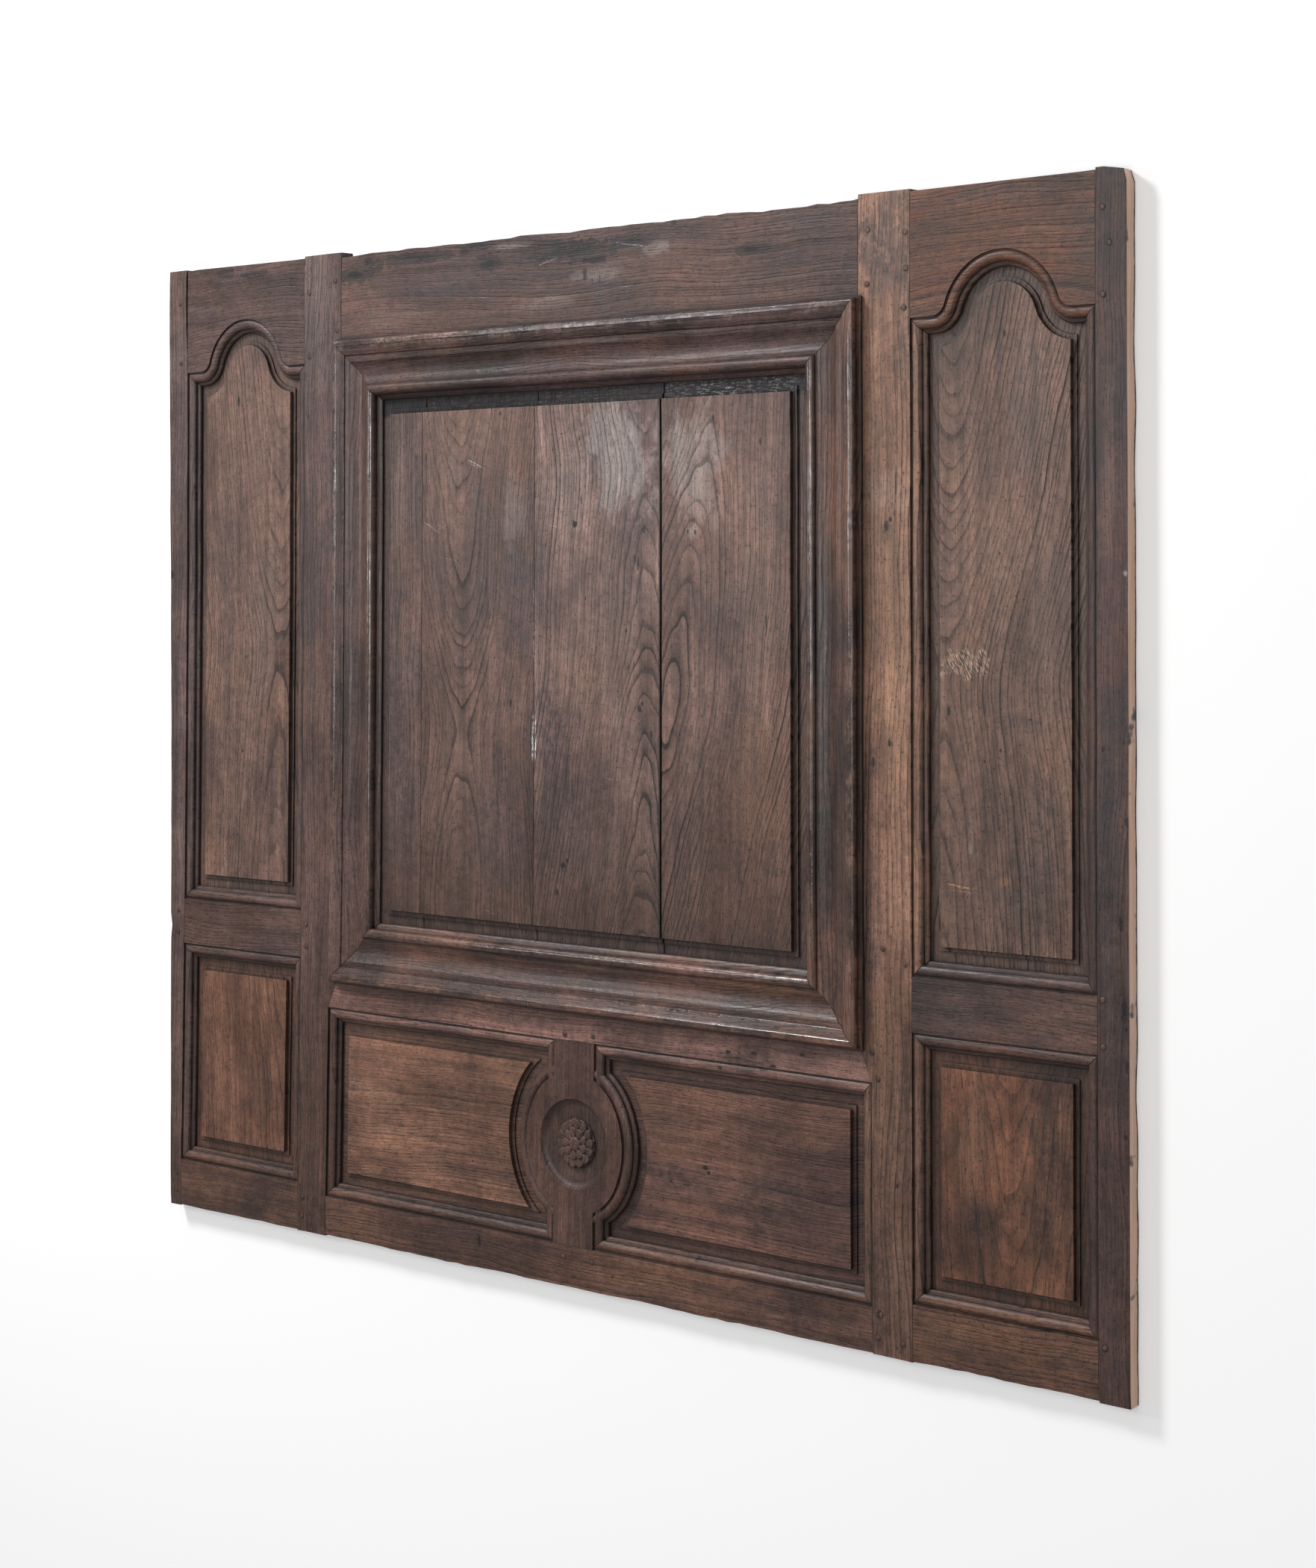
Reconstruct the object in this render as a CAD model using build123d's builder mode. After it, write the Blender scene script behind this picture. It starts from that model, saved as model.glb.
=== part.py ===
"""Wainscot panel: framed and panelled wall lining with two arched side bays and a bolection centre bay.

It lies on its back. X runs along the wall, Y up the wall and Z out of the wall.
The origin is the middle of the back.
"""
import os
from math import asin, atan2, cos, degrees, radians, sin

from build123d import *

os.makedirs("parts", exist_ok=True)

# Overall size
panel_width = 2400.0
panel_height = 2000.0
frame_thickness = 32.0

# Uprights, measured on their flat faces
outer_stile_face = 60.0
side_bay_width = 372.0
inner_stile_face = 111.0
inner_stile_lower_face = 85.0

# Rails: the bottom and middle ones are placed from the bottom edge, the top ones from the top edge
side_bottom_rail_face = 100.0
side_mid_rail_low = 562.0
side_mid_rail_face = 95.0
side_top_rail_face = 222.0
arch_rise = 104.0
arch_foot = 141.0
arch_cove_radius = 28.0
centre_bottom_rail_face = 82.0
centre_mid_rail_low = 467.0
centre_mid_rail_face = 63.0
centre_top_rail_face = 187.0

# Moulding stuck on the frame members, from the face edge to the sight edge
stuck_width = 28.0
stuck_depth = 19.0
quirk_width = 2.5
quirk_depth = 4.0
ovolo_width = 18.0
ovolo_crest = 0.8
ovolo_fall = 6.5
bead_step = 4.0
bead_width = 5.5
bead_fall = 1.5
lip_fall = 2.5
section_overlap = 6.0

# Panel grooves and the boards in them
groove_width = 8.0
groove_depth = 12.0
groove_clearance = 0.3
groove_end_gap = 1.0
margin_width = 18.0
ledge_width = 8.0
ledge_rise = 3.0
field_rise = 10.0

# Mortise and tenon joints
tenon_thickness = 10.0
tenon_low = 10.0
tenon_length = 40.0
tenon_inset = 15.0
tenon_clearance = 0.3
mortise_end_gap = 2.0
muntin_tenon_length = 30.0
muntin_tenon_inset = 18.0

# Muntin with its medallion
muntin_shift = -8.0
neck_width = 99.0
medallion_half_width = 120.0
medallion_half_height = 135.0
medallion_end_radius = 115.0
recess_radius = 84.0
recess_floor_radius = 70.0
recess_depth = 8.0
recess_cove_radius = 80.5
recess_cove_depth = 4.8
rosette_radius = 45.0
rosette_edge = 2.5
rosette_height = 6.0
rosette_boss_radius = 13.0
rosette_boss_height = 8.0

# Bolection moulding round the centre bay
bolection_width = 128.0
bolection_lap = 10.0
bolection_back = 4.0
tongue_low = 10.0
tongue_thickness = 8.0
tongue_length = 8.0

# Its section: places across from its outer edge, and rises above the frame's face
base_rise = 5.0
base_inset = 2.0
nose_belly = 5.0
nose_belly_rise = 9.0
nose_neck = 4.0
nose_neck_rise = 15.0
bolection_crest_place = 9.0
bolection_crest = 22.5
slope_start = 18.0
slope_start_rise = 21.0
slope_middle = 27.0
slope_middle_rise = 19.3
slope_end = 35.0
slope_end_rise = 16.0
fillet_start = 36.0
fillet_start_rise = 13.5
fillet_end = 48.0
fillet_end_rise = 12.5
hollow_fall = 60.0
hollow_fall_rise = 6.0
hollow_floor = 74.0
hollow_floor_rise = 3.0
hollow_climb = 83.0
hollow_climb_rise = 5.0
ribbon_start = 90.0
ribbon_rise = 8.5
torus_start = 97.0
torus_start_rise = 11.0
torus_crest = 108.0
torus_crest_rise = 16.5
torus_end = 118.0
torus_end_rise = 6.0
torus_foot_rise = 1.0
sight_slope = 124.0
sight_slope_drop = 1.0
sight_edge_drop = 4.5

# Centre panel of four boards
centre_groove_low = 14.0
centre_groove_width = 10.0
centre_margin_width = 20.0
centre_ledge_width = 10.0
centre_ledge_rise = 4.0
centre_field_rise = 12.0
board_seams = (783.0, 1088.0, 1405.0)
seam_gaps = (0.0, 0.0, 4.0)
board_tongue_low = 2.0
board_tongue_thickness = 6.0
board_tongue_length = 8.0

# Positions worked out from the sizes above
half_width = panel_width / 2
half_height = panel_height / 2
bay_left = -half_width + outer_stile_face
bay_right = bay_left + side_bay_width
bay_middle = (bay_left + bay_right) / 2
centre_edge = bay_right + inner_stile_face
lower_edge = bay_right + inner_stile_lower_face
muntin_middle_y = -half_height + (centre_bottom_rail_face + centre_mid_rail_low) / 2
side_low = -half_height + side_bottom_rail_face
side_mid_low = -half_height + side_mid_rail_low
side_mid_high = side_mid_low + side_mid_rail_face
spring_y = half_height - side_top_rail_face
crown_y = spring_y + arch_rise
centre_low = -half_height + centre_bottom_rail_face
centre_mid_low = -half_height + centre_mid_rail_low
centre_mid_high = centre_mid_low + centre_mid_rail_face
centre_top_low = half_height - centre_top_rail_face
margin_level = frame_thickness - stuck_depth
groove_low = margin_level - groove_width
tenon_seat = tenon_thickness - tenon_clearance
neck_left = muntin_shift - neck_width / 2
neck_right = muntin_shift + neck_width / 2

UP = (0, 1)
DOWN = (0, -1)
LEFT = (-1, 0)
RIGHT = (1, 0)


def edge_plane(x, y, toward):
    """Plane across a member's edge: its x axis points to the sight edge and its y axis up."""
    return Plane(origin=(x, y, 0), x_dir=(*toward, 0), z_dir=(toward[1], -toward[0], 0))


def box_sketch(x_low, x_high, y_low, y_high):
    """Rectangle between two corners."""
    with BuildSketch(mode=Mode.PRIVATE) as box:
        with Locations(((x_low + x_high) / 2, (y_low + y_high) / 2)):
            Rectangle(x_high - x_low, y_high - y_low)
    return box.sketch


def stuck_section():
    """Section of a grooved edge with its moulding: quirk, ovolo, bead and lip."""
    top = frame_thickness
    quirk_floor = top - quirk_depth
    ovolo_end = quirk_width + ovolo_width
    ovolo_foot = top - ovolo_fall
    bead_top = ovolo_foot - bead_step
    bead_end = ovolo_end + bead_width
    bead_foot = bead_top - bead_fall
    board_level = groove_low + groove_width
    with BuildSketch(mode=Mode.PRIVATE) as section:
        with BuildLine():
            Polyline(
                (stuck_width, board_level),
                (stuck_width - groove_depth, board_level),
                (stuck_width - groove_depth, groove_low),
                (stuck_width, groove_low),
                (stuck_width, 0),
                (-section_overlap, 0),
                (-section_overlap, top),
                (0, top),
                (0, quirk_floor),
                (quirk_width, quirk_floor),
            )
            ThreePointArc(
                (quirk_width, quirk_floor),
                (quirk_width + ovolo_width / 2, top - ovolo_crest),
                (ovolo_end, ovolo_foot),
            )
            Polyline(
                (ovolo_end, ovolo_foot),
                (ovolo_end, bead_top),
                (bead_end, bead_foot),
                (stuck_width, bead_foot - lip_fall),
                (stuck_width, board_level),
            )
        make_face()
    return section.sketch


def mitred_strip(start, end, toward):
    """Plan of one stuck moulding between two face corners, mitred at both ends."""
    run_x = 1 if end[0] > start[0] else 0
    run_y = 1 if end[1] > start[1] else 0
    back = section_overlap
    with BuildSketch(mode=Mode.PRIVATE) as strip:
        with BuildLine():
            Polyline(
                (start[0] + back * (run_x - toward[0]), start[1] + back * (run_y - toward[1])),
                (end[0] - back * (run_x + toward[0]), end[1] - back * (run_y + toward[1])),
                (end[0], end[1]),
                (
                    end[0] + stuck_width * (toward[0] - run_x),
                    end[1] + stuck_width * (toward[1] - run_y),
                ),
                (
                    start[0] + stuck_width * (toward[0] + run_x),
                    start[1] + stuck_width * (toward[1] + run_y),
                ),
                (start[0], start[1]),
                close=True,
            )
        make_face()
    return strip.sketch


def turned_moulding(centre, radius, start, turn, outward):
    """Stuck moulding revolved along one arc of a face edge, with the sight edge outside or inside."""
    ray = (cos(radians(start)), sin(radians(start)))
    toward = ray if outward else (-ray[0], -ray[1])
    plane = edge_plane(centre[0] + radius * ray[0], centre[1] + radius * ray[1], toward)
    revolve(plane * stuck_section(), axis=Axis((*centre, 0), (0, 0, 1)), revolution_arc=turn)


arch_reach = (arch_foot**2 + arch_rise**2) / (2 * arch_rise)
arch_crown_radius = arch_reach - arch_cove_radius
arch_turn = degrees(asin(arch_foot / arch_reach))


def arch_line(half_length, inset):
    """Lower edge of an arched rail, drawn in from the face edge, as edges from left to right."""
    flat = spring_y - inset
    cove_y = spring_y + arch_cove_radius
    cove_radius = arch_cove_radius + inset
    with BuildLine(mode=Mode.PRIVATE) as edge:
        Line((-half_length, flat), (-arch_foot, flat))
        CenterArc((-arch_foot, cove_y), cove_radius, -90, arch_turn)
        CenterArc(
            (0, crown_y - arch_crown_radius),
            arch_crown_radius - inset,
            90 + arch_turn,
            -2 * arch_turn,
        )
        CenterArc((arch_foot, cove_y), cove_radius, -90 - arch_turn, arch_turn)
        Line((arch_foot, flat), (half_length, flat))
    return edge.line


def arched_opening(low, inset):
    """Upper side opening, drawn in from its face edges and centred on its bay."""
    flat = spring_y - inset
    with BuildSketch(mode=Mode.PRIVATE) as opening:
        with BuildLine():
            add(arch_line(side_bay_width, inset))
            Polyline(
                (side_bay_width, flat),
                (side_bay_width, low + inset),
                (-side_bay_width, low + inset),
                (-side_bay_width, flat),
            )
        make_face()
        with Locations((0, (low + inset + crown_y) / 2)):
            Rectangle(side_bay_width - 2 * inset, crown_y - low - inset, mode=Mode.INTERSECT)
    return opening.sketch


medallion_side_radius = (
    medallion_half_width**2
    + (medallion_half_height - medallion_end_radius) ** 2
    - medallion_end_radius**2
) / (2 * (medallion_half_width - medallion_end_radius))
medallion_side_offset = medallion_side_radius - medallion_half_width
medallion_end_offset = medallion_half_height - medallion_end_radius
medallion_turn = degrees(atan2(medallion_end_offset, medallion_side_offset))

# The oval's four tangent arcs: centre, radius, start angle and turn
medallion_arcs = (
    ((-medallion_side_offset, 0), medallion_side_radius, -medallion_turn, 2 * medallion_turn),
    ((0, medallion_end_offset), medallion_end_radius, medallion_turn, 180 - 2 * medallion_turn),
    ((medallion_side_offset, 0), medallion_side_radius, 180 - medallion_turn, 2 * medallion_turn),
    ((0, -medallion_end_offset), medallion_end_radius, 180 + medallion_turn, 180 - 2 * medallion_turn),
)


def muntin_outline(grow):
    """Neck and medallion together, grown by a distance."""
    with BuildSketch(mode=Mode.PRIVATE) as outline:
        with Locations((muntin_shift, muntin_middle_y)):
            Rectangle(neck_width + 2 * grow, centre_mid_low - centre_low)
        with BuildSketch(Plane.XY, mode=Mode.PRIVATE) as oval:
            with BuildLine():
                for centre, radius, start, turn in medallion_arcs:
                    CenterArc(centre, radius + grow, start, turn)
            make_face()
        with Locations((muntin_shift, muntin_middle_y)):
            add(oval.sketch)
    return outline.sketch


def slot_block(x_low, x_high, y_low, y_high, z_low, thickness, mode=Mode.ADD):
    """Square block or slot in the part being built, used for tenons, mortises and tongues."""
    extrude(box_sketch(x_low, x_high, y_low, y_high).moved(Location((0, 0, z_low))), thickness, mode=mode)


def tenon(root, tip, y_low, y_high):
    """Tenon along X from inside the rail to its tip."""
    slot_block(min(root, tip), max(root, tip), y_low, y_high, tenon_low, tenon_seat)


def mortise(mouth, tip, y_low, y_high):
    """Mortise along X that takes the tenon with its clearances."""
    bottom = tip - mortise_end_gap if tip < mouth else tip + mortise_end_gap
    slot_block(
        min(mouth, bottom), max(mouth, bottom), y_low, y_high, tenon_low, tenon_thickness, Mode.SUBTRACT
    )


# Heights of the tenons, shared by the rails and the stiles
side_tenons = (
    (-half_height + tenon_inset, side_low - tenon_inset),
    (side_mid_low + tenon_inset, side_mid_high - tenon_inset),
    (spring_y + tenon_inset, half_height - tenon_inset),
)
centre_tenons = (
    (-half_height + tenon_inset, centre_low - tenon_inset),
    (centre_mid_low + tenon_inset, centre_mid_high - tenon_inset),
    (centre_top_low + tenon_inset, half_height - tenon_inset),
)
side_openings = ((side_low, side_mid_low), (side_mid_high, spring_y))

# Left outer stile
with BuildPart() as left_outer_stile:
    with BuildSketch(edge_plane(bay_left, half_height, RIGHT)):
        add(stuck_section())
    extrude(amount=panel_height)
    with BuildSketch():
        for low, high in side_openings:
            add(mitred_strip((bay_left, low), (bay_left, high), RIGHT))
    extrude(amount=frame_thickness, mode=Mode.INTERSECT)
    with BuildSketch():
        add(box_sketch(-half_width, bay_left, -half_height, half_height))
    extrude(amount=frame_thickness)
    for low, high in side_tenons:
        mortise(bay_left, bay_left - tenon_length, low, high)

# Left inner stile, moulded towards the side bay and, below the middle rail, towards the centre
with BuildPart() as left_inner_stile:
    with BuildSketch(edge_plane(bay_right, -half_height, LEFT)):
        add(stuck_section())
    extrude(amount=panel_height)
    with BuildSketch(edge_plane(lower_edge, half_height, RIGHT)):
        add(stuck_section())
    extrude(amount=panel_height)
    with BuildSketch():
        for low, high in side_openings:
            add(mitred_strip((bay_right, low), (bay_right, high), LEFT))
        add(mitred_strip((lower_edge, centre_low), (lower_edge, centre_mid_low), RIGHT))
    extrude(amount=frame_thickness, mode=Mode.INTERSECT)
    with BuildSketch():
        with BuildLine():
            Polyline(
                (bay_right, -half_height),
                (lower_edge, -half_height),
                (lower_edge, centre_mid_low),
                (centre_edge, centre_mid_high),
                (centre_edge, half_height),
                (bay_right, half_height),
                close=True,
            )
        make_face()
    extrude(amount=frame_thickness)
    slot_block(
        centre_edge, centre_edge + tongue_length, centre_mid_high, centre_top_low, tongue_low, tongue_thickness
    )
    for low, high in side_tenons:
        mortise(bay_right, bay_right + tenon_length, low, high)
    for low, high in centre_tenons:
        mortise(centre_edge, lower_edge - tenon_length, low, high)

# Left bottom rail
with BuildPart() as left_bottom_rail:
    with BuildSketch(edge_plane(bay_left, side_low, UP)):
        add(stuck_section())
    extrude(amount=side_bay_width)
    with BuildSketch():
        add(mitred_strip((bay_left, side_low), (bay_right, side_low), UP))
    extrude(amount=frame_thickness, mode=Mode.INTERSECT)
    with BuildSketch():
        add(box_sketch(bay_left, bay_right, -half_height, side_low))
    extrude(amount=frame_thickness)
    tenon(bay_left, bay_left - tenon_length, *side_tenons[0])
    tenon(bay_right, bay_right + tenon_length, *side_tenons[0])

# Left middle rail, moulded on both edges
with BuildPart() as left_mid_rail:
    with BuildSketch(edge_plane(bay_left, side_mid_high, UP)):
        add(stuck_section())
    extrude(amount=side_bay_width)
    with BuildSketch(edge_plane(bay_right, side_mid_low, DOWN)):
        add(stuck_section())
    extrude(amount=side_bay_width)
    with BuildSketch():
        add(mitred_strip((bay_left, side_mid_high), (bay_right, side_mid_high), UP))
        add(mitred_strip((bay_left, side_mid_low), (bay_right, side_mid_low), DOWN))
    extrude(amount=frame_thickness, mode=Mode.INTERSECT)
    with BuildSketch():
        add(box_sketch(bay_left, bay_right, side_mid_low, side_mid_high))
    extrude(amount=frame_thickness)
    tenon(bay_left, bay_left - tenon_length, *side_tenons[1])
    tenon(bay_right, bay_right + tenon_length, *side_tenons[1])

# Left top rail: the moulding follows the arch in five tangent stretches
with BuildPart() as left_top_rail:
    with BuildSketch(edge_plane(bay_middle - arch_foot, spring_y, DOWN)):
        add(stuck_section())
    extrude(amount=side_bay_width / 2 - arch_foot)
    with BuildSketch(edge_plane(bay_right, spring_y, DOWN)):
        add(stuck_section())
    extrude(amount=side_bay_width / 2 - arch_foot)
    cove_y = spring_y + arch_cove_radius
    turned_moulding((bay_middle - arch_foot, cove_y), arch_cove_radius, -90, arch_turn, True)
    turned_moulding((bay_middle + arch_foot, cove_y), arch_cove_radius, -90 - arch_turn, arch_turn, True)
    turned_moulding(
        (bay_middle, crown_y - arch_crown_radius), arch_crown_radius, 90 - arch_turn, 2 * arch_turn, False
    )
    with BuildSketch():
        with BuildLine():
            Polyline(
                (bay_left, spring_y),
                (bay_left + stuck_width, spring_y - stuck_width),
                (bay_right - stuck_width, spring_y - stuck_width),
                (bay_right, spring_y),
                (bay_right, half_height),
                (bay_left, half_height),
                close=True,
            )
        make_face()
    extrude(amount=frame_thickness, mode=Mode.INTERSECT)
    with BuildSketch():
        add(box_sketch(bay_left, bay_right, spring_y, half_height))
        with Locations((bay_middle, 0)):
            add(arched_opening(side_mid_high, -section_overlap / 2), mode=Mode.SUBTRACT)
    extrude(amount=frame_thickness)
    tenon(bay_left, bay_left - tenon_length, *side_tenons[2])
    tenon(bay_right, bay_right + tenon_length, *side_tenons[2])

# Centre bottom rail, moulded on each side of the muntin, with a mortise for it
with BuildPart() as centre_bottom_rail:
    with BuildSketch(edge_plane(lower_edge, centre_low, UP)):
        add(stuck_section())
    extrude(amount=-2 * lower_edge)
    with BuildSketch():
        add(mitred_strip((lower_edge, centre_low), (neck_left, centre_low), UP))
        add(mitred_strip((neck_right, centre_low), (-lower_edge, centre_low), UP))
    extrude(amount=frame_thickness, mode=Mode.INTERSECT)
    with BuildSketch():
        add(box_sketch(lower_edge, -lower_edge, -half_height, centre_low))
    extrude(amount=frame_thickness)
    tenon(lower_edge, lower_edge - tenon_length, *centre_tenons[0])
    tenon(-lower_edge, -lower_edge + tenon_length, *centre_tenons[0])
    slot_block(
        neck_left + muntin_tenon_inset,
        neck_right - muntin_tenon_inset,
        centre_low - muntin_tenon_length - mortise_end_gap,
        centre_low,
        tenon_low,
        tenon_thickness,
        Mode.SUBTRACT,
    )

# Centre middle rail: its shoulders slope because the stiles are moulded only below it
with BuildPart() as centre_mid_rail:
    with BuildSketch(edge_plane(-lower_edge, centre_mid_low, DOWN)):
        add(stuck_section())
    extrude(amount=-2 * lower_edge)
    with BuildSketch():
        add(mitred_strip((lower_edge, centre_mid_low), (neck_left, centre_mid_low), DOWN))
        add(mitred_strip((neck_right, centre_mid_low), (-lower_edge, centre_mid_low), DOWN))
    extrude(amount=frame_thickness, mode=Mode.INTERSECT)
    with BuildSketch():
        with BuildLine():
            Polyline(
                (lower_edge, centre_mid_low),
                (-lower_edge, centre_mid_low),
                (-centre_edge, centre_mid_high),
                (centre_edge, centre_mid_high),
                close=True,
            )
        make_face()
    extrude(amount=frame_thickness)
    tenon(centre_edge, lower_edge - tenon_length, *centre_tenons[1])
    tenon(-centre_edge, -lower_edge + tenon_length, *centre_tenons[1])
    slot_block(
        centre_edge + tongue_length,
        -centre_edge - tongue_length,
        centre_mid_high,
        centre_mid_high + tongue_length,
        tongue_low,
        tongue_thickness,
    )
    slot_block(
        neck_left + muntin_tenon_inset,
        neck_right - muntin_tenon_inset,
        centre_mid_low,
        centre_mid_low + muntin_tenon_length + mortise_end_gap,
        tenon_low,
        tenon_thickness,
        Mode.SUBTRACT,
    )

# Centre top rail, with a tongue for the bolection moulding
with BuildPart() as centre_top_rail:
    with BuildSketch():
        add(box_sketch(centre_edge, -centre_edge, centre_top_low, half_height))
    extrude(amount=frame_thickness)
    tenon(centre_edge, lower_edge - tenon_length, *centre_tenons[2])
    tenon(-centre_edge, -lower_edge + tenon_length, *centre_tenons[2])
    slot_block(
        centre_edge + tongue_length,
        -centre_edge - tongue_length,
        centre_top_low - tongue_length,
        centre_top_low,
        tongue_low,
        tongue_thickness,
    )

boss_rise = rosette_boss_height - rosette_edge
boss_sphere = (rosette_boss_radius**2 + boss_rise**2) / (2 * boss_rise)
boss_turn = degrees(asin(rosette_boss_radius / boss_sphere))

# Muntin: neck and medallion with the moulding carried round them, recess and rosette
with BuildPart() as medallion_muntin:
    with BuildSketch(edge_plane(neck_right, centre_mid_low, RIGHT)):
        add(stuck_section())
    extrude(amount=centre_mid_low - centre_low)
    with BuildSketch(edge_plane(neck_left, centre_low, LEFT)):
        add(stuck_section())
    extrude(amount=centre_mid_low - centre_low)
    for centre, radius, start, turn in medallion_arcs:
        middle = (muntin_shift + centre[0], muntin_middle_y + centre[1])
        turned_moulding(middle, radius, start, turn, True)
    with BuildSketch():
        with BuildLine():
            Polyline(
                (neck_left, centre_low),
                (neck_left - stuck_width, centre_low + stuck_width),
                (neck_left - medallion_half_width, centre_low + stuck_width),
                (neck_left - medallion_half_width, centre_mid_low - stuck_width),
                (neck_left - stuck_width, centre_mid_low - stuck_width),
                (neck_left, centre_mid_low),
                (neck_right, centre_mid_low),
                (neck_right + stuck_width, centre_mid_low - stuck_width),
                (neck_right + medallion_half_width, centre_mid_low - stuck_width),
                (neck_right + medallion_half_width, centre_low + stuck_width),
                (neck_right + stuck_width, centre_low + stuck_width),
                (neck_right, centre_low),
                close=True,
            )
        make_face()
    extrude(amount=frame_thickness, mode=Mode.INTERSECT)
    with BuildSketch():
        add(muntin_outline(-section_overlap / 2))
    extrude(amount=frame_thickness)
    slot_block(
        neck_left + muntin_tenon_inset,
        neck_right - muntin_tenon_inset,
        centre_low - muntin_tenon_length,
        centre_mid_low + muntin_tenon_length,
        tenon_low,
        tenon_seat,
    )
    with BuildSketch(Plane(origin=(muntin_shift, muntin_middle_y, 0), x_dir=(1, 0, 0), z_dir=(0, -1, 0))):
        with BuildLine():
            Polyline(
                (0, frame_thickness),
                (0, frame_thickness - recess_depth),
                (recess_floor_radius, frame_thickness - recess_depth),
            )
            ThreePointArc(
                (recess_floor_radius, frame_thickness - recess_depth),
                (recess_cove_radius, frame_thickness - recess_cove_depth),
                (recess_radius, frame_thickness),
            )
            Line((recess_radius, frame_thickness), (0, frame_thickness))
        make_face()
    revolve(axis=Axis((muntin_shift, muntin_middle_y, 0), (0, 0, 1)), mode=Mode.SUBTRACT)
    with BuildSketch(Plane(origin=(muntin_shift, muntin_middle_y, 0), x_dir=(1, 0, 0), z_dir=(0, -1, 0))):
        floor_level = frame_thickness - recess_depth
        with BuildLine():
            Polyline(
                (0, floor_level + rosette_boss_height),
                (0, floor_level - rosette_edge),
                (rosette_radius, floor_level - rosette_edge),
                (rosette_radius, floor_level + rosette_edge),
            )
            ThreePointArc(
                (rosette_radius, floor_level + rosette_edge),
                ((rosette_radius + rosette_boss_radius) / 2, floor_level + rosette_height),
                (rosette_boss_radius, floor_level + rosette_edge),
            )
            CenterArc(
                (0, floor_level + rosette_boss_height - boss_sphere), boss_sphere, 90 - boss_turn, boss_turn
            )
        make_face()
    revolve(axis=Axis((muntin_shift, muntin_middle_y, 0), (0, 0, 1)))


def bolection_section():
    """Section of the large moulding: outer bead, broad hollow, inner torus and panel groove."""
    face = frame_thickness
    inner = bolection_width
    rebate = bolection_lap
    tongue_top = tongue_low + tongue_thickness + groove_clearance
    tongue_end = rebate + tongue_length + groove_end_gap
    panel_top = centre_groove_low + centre_groove_width
    panel_end = inner - groove_depth
    with BuildSketch(mode=Mode.PRIVATE) as section:
        with BuildLine():
            Polyline(
                (inner, panel_top),
                (panel_end, panel_top),
                (panel_end, centre_groove_low),
                (inner, centre_groove_low),
                (inner, bolection_back),
                (rebate, bolection_back),
                (rebate, tongue_low),
                (tongue_end, tongue_low),
                (tongue_end, tongue_top),
                (rebate, tongue_top),
                (rebate, face),
                (0, face),
                (0, face + base_rise),
                (base_inset, face + base_rise),
            )
            ThreePointArc(
                (base_inset, face + base_rise),
                (nose_belly, face + nose_belly_rise),
                (nose_neck, face + nose_neck_rise),
            )
            ThreePointArc(
                (nose_neck, face + nose_neck_rise),
                (bolection_crest_place, face + bolection_crest),
                (slope_start, face + slope_start_rise),
            )
            ThreePointArc(
                (slope_start, face + slope_start_rise),
                (slope_middle, face + slope_middle_rise),
                (slope_end, face + slope_end_rise),
            )
            Polyline(
                (slope_end, face + slope_end_rise),
                (fillet_start, face + fillet_start_rise),
                (fillet_end, face + fillet_end_rise),
            )
            ThreePointArc(
                (fillet_end, face + fillet_end_rise),
                (hollow_fall, face + hollow_fall_rise),
                (hollow_floor, face + hollow_floor_rise),
            )
            ThreePointArc(
                (hollow_floor, face + hollow_floor_rise),
                (hollow_climb, face + hollow_climb_rise),
                (ribbon_start, face + ribbon_rise),
            )
            Polyline(
                (ribbon_start, face + ribbon_rise),
                (torus_start, face + ribbon_rise),
                (torus_start, face + torus_start_rise),
            )
            ThreePointArc(
                (torus_start, face + torus_start_rise),
                (torus_crest, face + torus_crest_rise),
                (torus_end, face + torus_end_rise),
            )
            Polyline(
                (torus_end, face + torus_end_rise),
                (torus_end, face + torus_foot_rise),
                (sight_slope, face - sight_slope_drop),
                (inner, face - sight_edge_drop),
                (inner, panel_top),
            )
        make_face()
    return section.sketch


bolection_outer_x = -centre_edge + bolection_lap
bolection_low = centre_mid_high - bolection_lap
bolection_high = centre_top_low + bolection_lap
bolection_middle = (bolection_low + bolection_high) / 2
bolection_reach = bolection_crest + frame_thickness


def bolection_length(start, length, toward, corners):
    """One mitred length, as a section run between its corners."""
    with BuildPart(mode=Mode.PRIVATE) as run:
        with BuildSketch(edge_plane(*start, toward)):
            add(bolection_section())
        extrude(amount=length)
        with BuildSketch():
            with BuildLine():
                Polyline(*corners, close=True)
            make_face()
        extrude(amount=bolection_reach, mode=Mode.INTERSECT)
    return run.part


bolection_tall = bolection_high - bolection_low
bolection_wide = 2 * bolection_outer_x

with BuildPart() as bolection_left:
    add(
        bolection_length(
            (-bolection_outer_x, bolection_high),
            bolection_tall,
            RIGHT,
            (
                (-bolection_outer_x, bolection_low),
                (-bolection_outer_x, bolection_high),
                (-bolection_outer_x + bolection_width, bolection_high - bolection_width),
                (-bolection_outer_x + bolection_width, bolection_low + bolection_width),
            ),
        )
    )

with BuildPart() as bolection_right:
    mirror(bolection_left.part, about=Plane.YZ)

with BuildPart() as bolection_bottom:
    add(
        bolection_length(
            (-bolection_outer_x, bolection_low),
            bolection_wide,
            UP,
            (
                (-bolection_outer_x, bolection_low),
                (bolection_outer_x, bolection_low),
                (bolection_outer_x - bolection_width, bolection_low + bolection_width),
                (-bolection_outer_x + bolection_width, bolection_low + bolection_width),
            ),
        )
    )

with BuildPart() as bolection_top:
    mirror(bolection_bottom.part, about=Plane.XZ.offset(-bolection_middle))


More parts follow.
